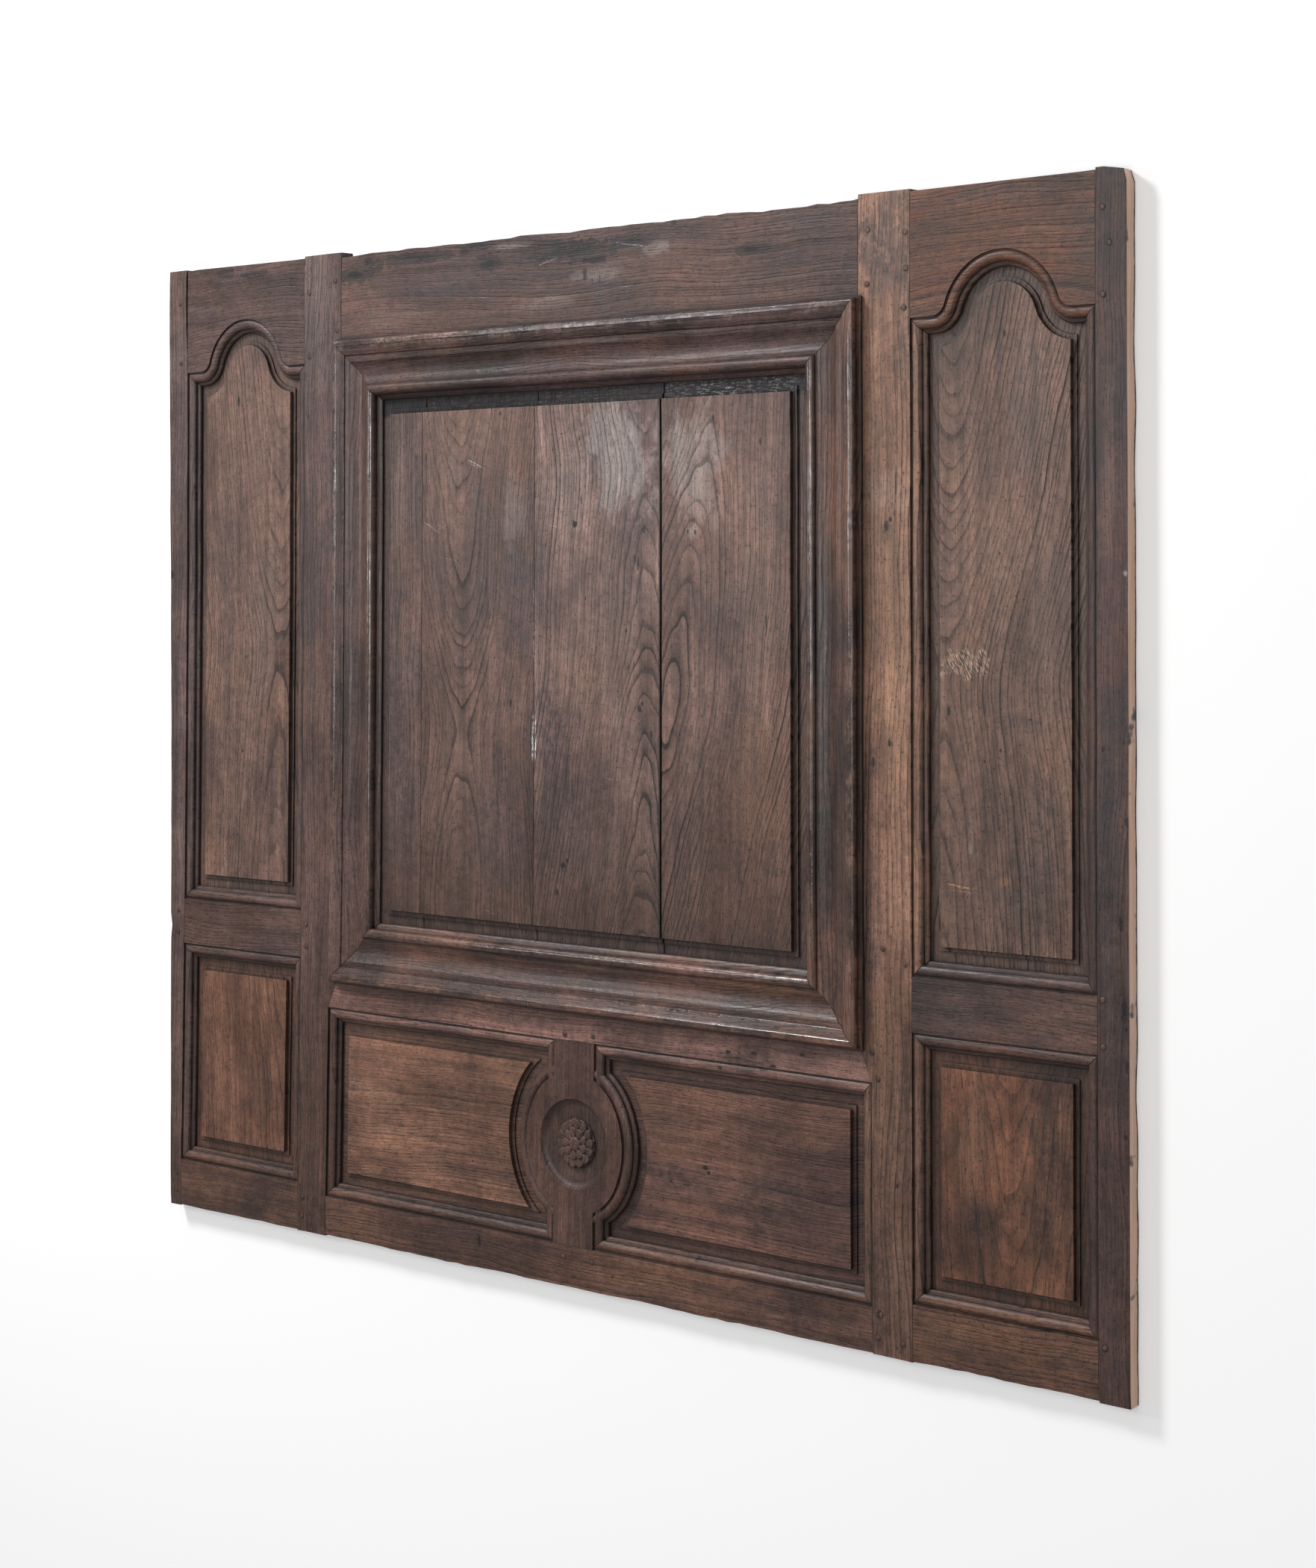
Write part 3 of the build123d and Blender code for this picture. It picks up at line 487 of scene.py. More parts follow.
    rough = t.fit(cloud, 0.3, 0.7, gloss - 0.05, gloss + 0.08)
    rough = t.swing(patch, 0.35, rough)
    rough = t.muladd(early, 0.12, rough)
    rubbed = None
    for start, full, end in polish:
        high = t.mul(t.fit(z, start, full), t.fit(z, end, end + 0.0015, 1.0, 0.0))
        high = t.mul(high, t.fit(patch, 0.30, 0.60, 1.0, 0.45))
        rubbed = high if rubbed is None else t.math("MAXIMUM", rubbed, high)
    if rubbed is not None:
        rough = t.muladd(rubbed, -0.24, rough)
        coat = t.muladd(t.mul(rubbed, t.fit(grime, 0.62, 0.40, 0.35, 1.0)), 0.9, coat)
    if chalky:
        rough = t.muladd(top_part, 0.3, rough)
    rough = t.math("MAXIMUM", t.muladd(t.sub(1.0, near), 0.35, rough), 0.14)
    normal = t.bump(height, 0.55, 0.0010)
    coat_rough = RUBBED_ROUGH if polish else WAX_ROUGH
    return t.surface(colour, rough, normal, coat, Specular_IOR_Level=shine, Coat_Roughness=coat_rough)


def joint_material():
    """Dark grit of the joint lines."""
    t = Material("joint_dark")
    grit = t.noise(t.place(), 160.0, 3.0, 0.6)
    tone = t.mix(t.fit(grit, 0.35, 0.68), rgb(22, 17, 16), rgb(74, 58, 51))
    return t.surface(tone, 0.8, t.bump(grit, 0.3, 0.001))


JOINT_DARK = joint_material()


# Geometry: every wooden piece is a refined and aged copy of its solid

def smooth_step(value, low, high):
    """Eased 0 to 1 between two numbers."""
    share = min(max((value - low) / (high - low), 0.0), 1.0)
    return share * share * (3 - 2 * share)


def ripple(point, scale, seed=0.0):
    """Smooth noise between about -1 and 1."""
    return noise.noise(Vector((point[0] * scale, point[1] * scale, point[2] * scale + seed)))


ROSETTE = (-0.008, -0.7255)
ROSETTE_RADIUS = 0.045

# How far the top ends and the feet have worn back, in metres
TOP_DROP = {
    "left_outer_stile": 0.001, "left_top_rail": 0.004, "left_inner_stile": 0.0, "centre_top_rail": 0.009,
    "right_inner_stile": 0.001, "right_top_rail": 0.005, "right_outer_stile": 0.0,
}
FOOT_RISE = {
    "left_outer_stile": 0.0, "left_bottom_rail": 0.002, "left_inner_stile": 0.0, "centre_bottom_rail": 0.003,
    "right_inner_stile": 0.001, "right_bottom_rail": 0.003, "right_outer_stile": 0.0,
}

# Width of the dark line along a piece's joints
USUAL_JOINT = 0.0008
JOINT_WIDTH = {"left_outer_stile": 0.0011, "left_inner_stile": 0.0010, "centre_board_3": 0.0012,
               "centre_board_4": 0.0026}


def lean(x, y):
    """How far the left part has racked out of square, in metres towards the left."""
    u, v = x + HALF_X, y + HALF_Y
    fall = LEAN * max(1 - v / 2, 0.0) ** 2
    if u < 0.06:
        return fall * u / 0.06
    return fall * (1 - smooth_step(u, LEAN_START, LEAN_END))


def age(point, node):
    """Place of one point of a piece after long use: racked, wavy and worn at the ends."""
    x, y, z = point
    loose = smooth_step(z, 0.0, 0.012)
    out = Vector(point)
    if node == "medallion_muntin" and hypot(x - ROSETTE[0], y - ROSETTE[1]) < ROSETTE_RADIUS + 0.0004:
        out.z = min(out.z, FACE_Z - 0.0105)
    out.x -= lean(x, y)
    out.x += 0.0007 * ripple((x * 0.4, y, z), 5.0, 3.0)
    out.y += 0.0007 * ripple((x, y * 0.4, z), 5.0, 11.0)
    out.z += loose * (0.0006 * ripple((x, y, 0), 7.0, 21.0) + 0.00025 * ripple((x, y, z), 34.0, 5.0))
    if node in TOP_DROP and y > 0.9:
        share = smooth_step(y, 0.955, HALF_Y)
        wave = 0.5 + 0.5 * ripple((x, 0, z), 9.0, 31.0) + 0.35 * ripple((x, 0, z), 31.0, 17.0)
        out.y -= share * (TOP_DROP[node] * (0.6 + 0.8 * wave) + 0.0012 * wave)
        out.z -= loose * 0.0012 * smooth_step(y, 0.985, HALF_Y) * (0.5 + wave)
    if node in FOOT_RISE and y < -0.9:
        share = smooth_step(-y, 0.955, HALF_Y)
        wave = 0.5 + 0.5 * ripple((x, 0, z), 10.0, 43.0) + 0.4 * ripple((x, 0, z), 37.0, 7.0)
        out.y += share * (FOOT_RISE[node] * (0.6 + 0.8 * wave) + 0.0012 * wave)
        out.z -= loose * 0.0015 * smooth_step(-y, 0.985, HALF_Y) * (0.5 + wave)
    if node == "left_outer_stile":
        edge = 1 - smooth_step(x, -HALF_X, -HALF_X + 0.03)
        out.x += edge * (0.004 * sin(pi * min(max(y + 1, 0), 2) / 2) ** 2 + 0.001 * ripple((0, y, z), 20.0, 2.0))
        nick = max(0.0, 1 - abs(y + 0.406) / 0.012)
        out.x += edge * 0.006 * nick
        out.x -= 0.0045 * smooth_step(x, -1.146, -1.141) * smooth_step(y, 0.80, 0.90)
    if node == "right_outer_stile":
        edge = smooth_step(x, HALF_X - 0.02, HALF_X)
        back = 1 - smooth_step(z, 0.002, 0.012)
        out.x -= edge * back * (0.003 + 0.004 * (0.5 + ripple((0, y, 0), 9.0, 8.0)))
        corner = smooth_step(y, 0.975, HALF_Y) * smooth_step(x, HALF_X - 0.03, HALF_X)
        out.x -= 0.006 * corner
        out.y -= 0.006 * corner
    return out


trees = {
    name: BVHTree.FromPolygons([v.co for v in obj.data.vertices], [p.vertices for p in obj.data.polygons])
    for name, obj in nodes.items()
}
boxes = {name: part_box(name) for name in nodes}


def touches_other(point, node):
    """Whether a point of one solid lies against another solid."""
    for other, tree in trees.items():
        if other == node:
            continue
        low, high = boxes[other]
        if all(low[i] - 1e-4 <= point[i] <= high[i] + 1e-4 for i in range(3)):
            if tree.find_nearest(point, 6e-5)[0] is not None:
                return True
    return False


def is_joint(edge, node):
    """Whether one side of a visible edge is a face that meets another piece."""
    a, b = (v.co for v in edge.verts)
    for loop in edge.link_loops:
        along_loop = loop.link_loop_next.vert.co - loop.vert.co
        if along_loop.length < 1e-6:
            continue
        inward = loop.face.normal.cross(along_loop.normalized()) * 0.0005
        if any(touches_other(a.lerp(b, share) + inward, node) for share in (0.2, 0.5, 0.8)):
            return True
    return False


def bevel(work, edges, width, parts, index):
    """Flat or rounded arris along some edges, its faces given a material index."""
    bmesh.ops.bevel(
        work, geom=edges, offset=width, offset_type="OFFSET", segments=parts, profile=0.5,
        affect="EDGES", clamp_overlap=False, loop_slide=True, material=index,
    )


def outer_edges(work, lowest):
    """Convex sharp edges above a level, outside the joint lines."""
    return [
        e for e in work.edges
        if len(e.link_faces) == 2 and e.calc_face_angle_signed(0) > radians(32) and e.calc_length() > 0.0015
        and max(v.co.z for v in e.verts) > lowest and all(f.material_index == 0 for f in e.link_faces)
    ]


def refine(node, step_x, step_y, arris):
    """Copy of a solid's mesh with dark joint lines, eased arrises and enough points to bend."""
    work = bmesh.new()
    work.from_mesh(nodes[node].data)
    for face in work.faces:
        face.material_index = 0
    bmesh.ops.remove_doubles(work, verts=work.verts, dist=1e-6)
    bmesh.ops.dissolve_limit(work, angle_limit=radians(0.4), verts=work.verts, edges=work.edges)
    joints = [e for e in outer_edges(work, 0.0145) if is_joint(e, node)]
    bevel(work, joints, JOINT_WIDTH.get(node, USUAL_JOINT), 1, 1)
    bevel(work, outer_edges(work, 0.011), arris, 2, 0)
    bmesh.ops.remove_doubles(work, verts=work.verts, dist=2e-5)
    for axis, step in ((0, step_x), (1, step_y)):
        taken = sorted({round(v.co[axis], 4) for v in work.verts})
        low, high = taken[0], taken[-1]
        count = max(1, ceil((high - low) / step))
        for index in range(1, count):
            at = low + (high - low) * index / count
            if min(abs(at - other) for other in taken) < 0.0012:
                continue
            direction = Vector((0, 0, 0))
            direction[axis] = 1
            bmesh.ops.bisect_plane(
                work, geom=work.verts[:] + work.edges[:] + work.faces[:], dist=1e-6, plane_co=direction * at,
                plane_no=direction,
            )
    bmesh.ops.triangulate(work, faces=[f for f in work.faces if len(f.verts) > 4])
    return work


def add_object(name, data):
    """New object in the scene."""
    obj = bpy.data.objects.new(name, data)
    bpy.context.scene.collection.objects.link(obj)
    return obj


def finish_mesh(work, name, materials, stands_for):
    """Object from a bmesh, smooth but for its sharp edges, riding on the part."""
    for edge in work.edges:
        edge.smooth = len(edge.link_faces) != 2 or edge.calc_face_angle(0) < radians(33)
    for face in work.faces:
        face.smooth = True
    mesh = bpy.data.meshes.new(name)
    work.to_mesh(mesh)
    work.free()
    for material in materials:
        mesh.materials.append(material)
    obj = add_object(name, mesh)
    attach(obj, "root")
    if stands_for:
        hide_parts(*stands_for)
    return obj


def piece(node, material, step_x, step_y, arris):
    """Aged wooden piece that stands for a solid."""
    work = refine(node, step_x, step_y, arris)
    for vertex in work.verts:
        vertex.co = age(vertex.co, node)
    obj = finish_mesh(work, node + "_aged", [material, JOINT_DARK], [node])
    weighted = obj.modifiers.new("normals", "WEIGHTED_NORMAL")
    weighted.keep_sharp = True
    weighted.weight = 60


# Levels of the bolection's rubbed crest and torus: where the gloss starts, is full and ends
BRIGHT = ((0.0520, 0.0540, 0.0600), (0.0455, 0.0475, 0.0490))

# Settings of oak() that pieces of a kind share
FRAME_SUNK = (FRAME_LOW, (62, 47, 44), 0.5)
STILE = dict(along="Y", spacing=0.0078, lines=0.62, sunk=FRAME_SUNK)
RAIL = dict(along="X", spacing=0.0070, lines=0.55, pores=0.70, sunk=FRAME_SUNK)
BOARD = dict(along="Y", spacing=0.0078, lines=0.86, fade=(-0.4, 0.16, (81, 58, 48), 0.95),
             sunk=(BOARD_LOW, (72, 56, 52), 0.5))
WAXED = dict(gloss=0.42, coat=0.06, polish=BRIGHT)

# Settings of oak() for each piece, whose seed is its place in this table
LOOKS = {
    "left_outer_stile": dict(
        STILE, light=(112, 90, 85), deep=(85, 67, 65), fade=(-1.0, 0.1, (88, 64, 54), 0.7),
        marks=[(8, 1349, 6, 9), (14, 607, 5, 8), (30, 1214, 2, 3)],
        blots=[(40, 1500, 14, 120, PURPLE, 0.6), (30, 900, 14, 160, PURPLE, 0.5)]),
    "left_inner_stile": dict(
        STILE, light=(106, 81, 76), deep=(80, 62, 59), fade=(-1.0, 0.2, (88, 62, 51), 0.9),
        # The pale patch at the top of the stile is painted sheen
        blots=[(470, 1900, 40, 160, PALE_MARK_AND_SHEEN, 0.25), (500, 1450, 26, 200, PURPLE, 0.5),
               (455, 1200, 12, 240, PURPLE, 0.6), (500, 60, 40, 60, (60, 44, 40), 0.6)]),
    "right_inner_stile": dict(
        STILE, light=(168, 124, 101), deep=(132, 95, 76), fade=(-1.1, 0.1, (98, 72, 60), 0.85), spacing=0.0105,
        lines=0.68, mottle=0.24, sunk=(FRAME_LOW, (84, 64, 56), 0.6),
        marks=[(1918, 1423, 5, 9), (1926, 1436, 3, 4), (1923, 1053, 4, 7), (1888, 1018, 3, 8), (1937, 297, 3, 5),
               (1938, 1498, 1.5, 22), (1898, 71, 5, 8)],
        blots=[(1918, 1423, 14, 26, (72, 52, 46), 0.75), (1923, 1053, 12, 24, (80, 58, 50), 0.6),
               (1888, 1018, 8, 26, (80, 58, 50), 0.6), (1890, 1930, 40, 90, (96, 76, 70), 0.85),
               (1935, 1910, 50, 110, (112, 90, 79), 0.7), (1920, 1480, 40, 40, (168, 140, 124), 0.5),
               (1955, 1780, 20, 120, (104, 82, 74), 0.6), (1935, 1200, 26, 330, (168, 130, 101), 0.5),
               (1886, 700, 16, 160, PURPLE, 0.5), (1955, 420, 20, 120, (74, 56, 50), 0.55),
               (1900, 100, 30, 90, (70, 52, 46), 0.6), (1905, 560, 18, 60, TAN, 0.5)],
        scratches=[(1950, 860, 1968, 860, 1.6, BARE, 0.9), (1946, 866, 1966, 868, 1.0, BARE, 0.6)]),
    "right_outer_stile": dict(
        STILE, light=(90, 62, 56), deep=(57, 42, 42), fade=(-1.0, 0.1, (72, 54, 51), 0.6), mottle=0.38, raw_side=True,
        marks=[(2399, 941, 6, 9), (2352, 1057, 3, 5), (2390, 640, 5, 16), (2396, 550, 4, 9), (2385, 780, 4, 12),
               (2392, 436, 3, 4), (2394, 609, 3, 4)],
        blots=[(2365, 1500, 14, 120, (132, 102, 90), 0.5), (2362, 900, 22, 300, (70, 58, 60), 0.7),
               (2395, 1341, 4, 5, CHALK, 0.9)]),
    "left_top_rail": dict(
        RAIL, light=(98, 72, 66), deep=(77, 57, 52),
        blots=[(186, 1982, 26, 10, INK, 0.8), (270, 1973, 40, 9, INK, 0.7), (120, 1900, 40, 14, PURPLE, 0.5)]),
    "left_mid_rail": dict(RAIL, light=(100, 76, 69), deep=(74, 55, 51)),
    "left_bottom_rail": dict(RAIL, light=(104, 74, 61), deep=(73, 53, 46)),
    "right_top_rail": dict(
        RAIL, light=(111, 67, 46), deep=(80, 49, 35), red=0.5, spacing=0.0075, lines=0.62,
        rings=(0.7, 0.0, 0.06, -0.08, 0.98, 0.2), pores=0.55,
        blots=[(2170, 1975, 120, 12, (84, 66, 60), 0.6), (2320, 1900, 30, 50, (84, 66, 60), 0.5)]),
    "right_mid_rail": dict(
        RAIL, light=(94, 67, 59), deep=(65, 48, 46),
        blots=[(2060, 600, 60, 30, (70, 58, 58), 0.6), (2230, 610, 40, 12, TAN, 0.3)]),
    "right_bottom_rail": dict(
        RAIL, light=(113, 77, 59), deep=(74, 52, 43), mottle=0.36,
        blots=[(2290, 60, 60, 22, (74, 56, 50), 0.6), (2060, 60, 60, 14, (134, 98, 76), 0.5)]),
    "centre_top_rail": dict(
        along="X", light=(101, 73, 65), deep=(76, 53, 49), spacing=0.0075, lines=0.55,
        rings=(-1.2, -0.03, 0.2, 0.02, 0.0, 1.0), mottle=0.4,
        marks=[(1198, 1980, 2, 2), (1325, 1975, 2, 2), (1436, 1986, 7, 4), (964, 1950, 5, 4), (957, 1938, 3, 3),
               (970, 1930, 3, 2), (1165, 1962, 6, 3), (1215, 1936, 5, 2), (1253, 1892, 2, 14), (1236, 1948, 7, 2),
               (1180, 1941, 9, 2), (1190, 1953, 55, 6), (1150, 1969, 60, 3), (1240, 1932, 24, 5), (1330, 1960, 30, 5),
               (964, 1946, 16, 7), (584, 1951, 22, 6), (758, 1973, 55, 3), (1618, 1923, 14, 5), (930, 1985, 24, 4),
               (1215, 1908, 6, 12), (1100, 1942, 14, 4)],
        blots=[(1195, 1950, 105, 20, INK, 0.92), (1120, 1968, 120, 9, INK, 0.7), (1330, 1958, 60, 14, INK, 0.7),
               (1253, 1892, 14, 26, PURPLE, 0.8), (584, 1951, 60, 16, INK, 0.75), (758, 1972, 120, 10, INK, 0.8),
               (964, 1946, 34, 16, INK, 0.85), (933, 1984, 60, 8, INK, 0.8), (1618, 1923, 46, 10, INK, 0.75),
               (1760, 1965, 60, 12, PURPLE, 0.7), (840, 1915, 90, 16, PURPLE, 0.6), (1395, 1940, 30, 10, PALE_MARK_AND_SHEEN, 0.6),
               (1113, 1858, 70, 12, PALE_MARK_AND_SHEEN, 0.35), (1240, 1905, 60, 10, PALE_MARK_AND_SHEEN, 0.45), (1010, 1975, 40, 6, PALE_MARK_AND_SHEEN, 0.5),
               (700, 1860, 80, 20, (126, 100, 88), 0.5)],
        scratches=[(1560, 1945, 1592, 1926, 1.2, INK, 0.8), (1565, 1922, 1590, 1948, 1.2, INK, 0.8),
                   (1290, 1962, 1370, 1946, 1.5, CHALK, 0.5), (1090, 1930, 1150, 1944, 1.2, CHALK, 0.4)]),
    "centre_mid_rail": dict(
        RAIL, light=(148, 109, 98), deep=(107, 78, 71),
        marks=[(1543, 456, 6, 3), (1667, 472, 7, 3), (1563, 486, 5, 3), (1622, 490, 7, 3), (1731, 499, 5, 3),
               (1585, 478, 8, 2), (1640, 462, 9, 2)],
        blots=[(1620, 478, 80, 18, (70, 54, 49), 0.7), (1060, 500, 90, 14, (88, 70, 65), 0.6)]),
    "centre_bottom_rail": dict(
        RAIL, light=(114, 80, 66), deep=(80, 56, 48), mottle=0.36,
        marks=[(953, 57, 4, 12), (1488, 103, 4, 5), (1290, 40, 3, 2), (780, 40, 3, 2)],
        blots=[(1397, 55, 20, 8, TAN, 0.6), (1700, 40, 110, 18, (74, 56, 51), 0.6),
               (640, 20, 90, 10, (128, 92, 70), 0.6), (900, 60, 60, 14, PURPLE, 0.4)]),
    "medallion_muntin": dict(
        STILE, light=(98, 69, 59), deep=(76, 53, 46), spacing=0.007, lines=0.36, sunk=(FRAME_LOW, (66, 50, 44), 0.5),
        blots=[(1150, 380, 20, 30, (126, 98, 86), 0.4), (1230, 150, 20, 40, (84, 62, 54), 0.5)]),
    "bolection_top": dict(
        RAIL, light=(92, 70, 66), deep=(62, 48, 45), mottle=0.36, coat=0.02, shine=0.24, polish=BRIGHT[:1],
        crest=((170, 150, 142), 0.4)),
    "bolection_bottom": dict(
        RAIL, **WAXED, light=(116, 80, 67), deep=(74, 53, 47), mottle=0.42, crest=((160, 118, 92), 0.35),
        marks=[(1691, 545, 6, 3), (1500, 545, 5, 2), (1320, 548, 4, 2)],
        blots=[(1640, 610, 110, 12, (150, 106, 80), 0.5), (1250, 612, 60, 8, (140, 104, 84), 0.4)]),
    "bolection_left": dict(
        STILE, **WAXED, light=(104, 77, 70), deep=(70, 52, 49), mottle=0.36, grime_and_shade=0.1, crest=((130, 104, 90), 0.5)),
    "bolection_right": dict(
        STILE, **WAXED, light=(113, 79, 65), deep=(70, 50, 44), red=0.1, mottle=0.42, crest=((140, 108, 90), 0.55),
        blots=[(1790, 900, 16, 200, (44, 36, 36), 0.7), (1810, 640, 22, 70, (50, 38, 36), 0.7),
               (1838, 800, 8, 140, (120, 84, 70), 0.3)]),
    "left_upper_panel": dict(
        along="Y", light=(126, 96, 84), deep=(96, 74, 66), spacing=0.0082, lines=0.74,
        rings=(-0.85, 0.0, 0.06, 0.14, 0.2, 0.25), sunk=(PANEL_LOW, (72, 56, 50), 0.55),
        marks=[(216, 1711, 3, 10), (161, 1214, 2, 3), (244, 1176, 2, 3), (233, 978, 2.5, 4), (180, 1380, 1.5, 2)],
        blots=[(216, 1711, 9, 20, (84, 66, 60), 0.6), (190, 1600, 40, 90, (116, 88, 76), 0.5),
               (300, 1250, 40, 160, (138, 114, 104), 0.4), (230, 1000, 60, 60, (104, 82, 74), 0.5),
               (180, 1250, 20, 200, (96, 78, 72), 0.5)]),
    "left_lower_panel": dict(
        along="Y", light=(134, 93, 74), deep=(99, 68, 55), red=0.5, spacing=0.0075, lines=0.6,
        rings=(-0.8, 0.0, 0.09, 0.08, -1.1, 0.8), sunk=(PANEL_LOW, (66, 50, 44), 0.55)),
    "right_upper_panel": dict(
        along="Y", light=(129, 98, 84), deep=(98, 74, 63), spacing=0.01, lines=0.86,
        rings=(0.83, 0.02, 0.03, 0.24, 0.17, 0.3), mottle=0.26, sunk=(PANEL_LOW, (74, 58, 52), 0.55),
        marks=[(2156, 1742, 3, 6), (2145, 1375, 1.8, 3), (2146, 1047, 1.8, 3), (2113, 1028, 1.8, 3),
               (2206, 1100, 5, 2), (2040, 1110, 4, 8)],
        blots=[(2085, 881, 5, 12, PALE_MARK_AND_SHEEN, 0.7), (2180, 1090, 60, 16, (84, 68, 64), 0.6),
               (2230, 900, 40, 110, (92, 74, 68), 0.6), (2240, 1300, 40, 160, (150, 122, 108), 0.35),
               (2090, 1000, 40, 130, (110, 86, 74), 0.5), (2180, 800, 70, 70, (100, 80, 73), 0.5),
               (2150, 830, 14, 8, (160, 112, 84), 0.6), (2210, 1620, 40, 120, (138, 116, 106), 0.35)],
        scratches=[(2035, 818, 2090, 813, 2.2, BARE, 0.9), (2060, 808, 2088, 806, 1.2, BARE, 0.8),
                   (2110, 1183, 2230, 1150, 1.2, (92, 74, 68), 0.7), (2268, 1120, 2276, 1090, 1.0, INK, 0.7)],
        splinters=[(2074, 1192, 50, 18, (176, 142, 124))]),
    "right_lower_panel": dict(
        along="Y", light=(128, 82, 59), deep=(81, 53, 41), red=0.5, spacing=0.009, lines=0.6,
        rings=(0.96, 0.0, 0.06, 0.12, -0.9, 0.1), mottle=0.38, sunk=(PANEL_LOW, (60, 45, 40), 0.55),
        blots=[(2090, 380, 30, 90, (136, 100, 78), 0.6), (2110, 260, 40, 40, (62, 47, 43), 0.6),
               (2230, 380, 40, 120, (66, 50, 46), 0.6)]),
    "lower_centre_left_panel": dict(
        along="X", light=(147, 105, 84), deep=(108, 76, 63), red=0.4, spacing=0.0065, lines=0.5,
        sunk=(PANEL_LOW, (66, 50, 44), 0.55),
        marks=[(924, 205, 2, 2)],
        blots=[(657, 301, 50, 26, (160, 122, 98), 0.6), (675, 234, 60, 24, (156, 118, 94), 0.5),
               (748, 243, 40, 20, TAN, 0.5), (573, 314, 30, 22, (104, 84, 78), 0.6),
               (850, 200, 50, 40, (112, 80, 66), 0.5)]),
    "lower_centre_right_panel": dict(
        along="X", light=(122, 85, 72), deep=(86, 60, 53), spacing=0.0065, lines=0.52, mottle=0.34,
        sunk=(PANEL_LOW, (60, 46, 42), 0.55),
        marks=[(1503, 269, 6, 4), (1422, 235, 3, 2), (1375, 184, 2, 2), (1511, 262, 3, 3)],
        blots=[(1503, 269, 26, 12, (58, 44, 41), 0.85), (1430, 250, 90, 26, (72, 56, 54), 0.7),
               (1640, 230, 70, 50, (74, 57, 53), 0.6), (1380, 330, 60, 30, (124, 94, 80), 0.4)]),
    "centre_board_1": dict(
        BOARD, light=(125, 98, 91), deep=(92, 72, 68), spacing=0.0075, lines=0.62, chalky=0.04,
        marks=[(768, 1575, 2, 7)],
        blots=[(700, 1500, 40, 120, (126, 100, 90), 0.4), (720, 900, 40, 160, (84, 68, 66), 0.5),
               (700, 1200, 26, 160, PURPLE, 0.5)]),
    "centre_board_2": dict(
        BOARD, light=(123, 94, 83), deep=(89, 67, 61), lines=0.8, rings=(-0.312, -0.01, 0.055, 0.135, 0.06, 0.3),
        chalky=0.08,
        marks=[(997, 1654, 2, 5), (794, 1575, 2, 8), (1026, 1098, 3, 8), (1060, 1020, 2, 3), (905, 1180, 1.5, 3)],
        blots=[(870, 1560, 14, 50, (150, 124, 112), 0.6), (1055, 1330, 34, 110, PURPLE, 0.75),
               # The pale patch at 1040, 1470 is painted sheen
               (1040, 1470, 34, 60, PALE_MARK_AND_SHEEN, 0.4), (1000, 860, 60, 120, (82, 67, 66), 0.6),
               (850, 1000, 50, 160, (116, 90, 80), 0.5), (1072, 1500, 14, 60, PURPLE, 0.6)],
        scratches=[(787, 1450, 835, 1425, 1.6, PALE_MARK_AND_SHEEN, 0.9), (905, 1569, 952, 1549, 1.4, CHALK, 0.8),
                   (915, 1560, 940, 1550, 1.0, CHALK, 0.6), (830, 1380, 880, 1372, 1.0, PALE_MARK_AND_SHEEN, 0.6),
                   (1087, 985, 1086, 1085, 3.0, CHALK, 0.85), (1087, 1171, 1087, 1334, 1.6, CHALK, 0.7),
                   (960, 700, 990, 690, 1.2, PALE_MARK_AND_SHEEN, 0.5)]),
    "centre_board_3": dict(
        BOARD, light=(144, 114, 104), deep=(98, 76, 71), rings=(0.158, 0.0, 0.045, 0.135, 0.545, 0.0), chalky=0.16,
        marks=[(1404.2, 1170, 2.4, 900), (1204, 1599, 2, 6), (1209, 1484, 2, 10), (1193, 1439, 6, 5),
               (1220, 1299, 1.8, 4), (1136, 1580, 2, 4), (1366, 1428, 4, 8), (1352, 1365, 3, 12), (1344, 1372, 2, 9),
               (1150, 744, 4, 6), (1166, 796, 6, 5), (1175, 806, 3, 3), (1355, 1096, 5, 7), (1362, 1106, 3, 4),
               (1384, 1050, 3, 6), (1322, 1240, 2, 4), (1190, 1440, 3, 7)],
        # The pale patches at 1300, 1570 and 1190, 1500 are painted sheen
        blots=[(1366, 1428, 14, 24, (96, 76, 70), 0.7), (1300, 1570, 80, 90, (178, 164, 158), 0.75),
               (1190, 1500, 70, 70, PALE_MARK_AND_SHEEN, 0.35), (1110, 1400, 14, 140, PURPLE, 0.7),
               (1140, 1020, 60, 80, PURPLE, 0.75), (1190, 900, 80, 90, (82, 66, 65), 0.6),
               (1300, 1200, 40, 200, (142, 116, 104), 0.4), (1166, 796, 18, 14, (80, 66, 66), 0.6),
               (1330, 900, 40, 160, (118, 92, 82), 0.4), (1388, 900, 10, 120, (80, 64, 62), 0.5)],
        scratches=[(1091, 985, 1092, 1085, 2.4, CHALK, 0.8), (1118, 1440, 1180, 1425, 1.2, PALE_MARK_AND_SHEEN, 0.8),
                   (1125, 1452, 1160, 1444, 1.0, PALE_MARK_AND_SHEEN, 0.7), (1345, 1345, 1368, 1360, 1.0, PALE_MARK_AND_SHEEN, 0.8),
                   (1190, 1105, 1290, 1100, 0.9, INK, 0.6), (1270, 965, 1310, 962, 1.0, BARE, 0.5)]),
    "centre_board_4": dict(
        BOARD, light=(133, 102, 91), deep=(94, 70, 63), rings=(0.2, 0.206, 0.04, -0.135, 0.15, 0.1), mottle=0.26,
        chalky=0.85,
        marks=[(1405.8, 1170, 2.8, 900), (1642, 1579, 2, 6), (1533, 1624, 2, 6), (1472, 1421, 3, 5),
               (1489, 1420, 3, 5), (1655, 1255, 1.5, 18)],
        # The pale patch at 1490, 1540 is painted sheen
        blots=[(1490, 1540, 60, 90, (172, 156, 149), 0.7), (1480, 1421, 14, 12, (180, 168, 160), 0.5),
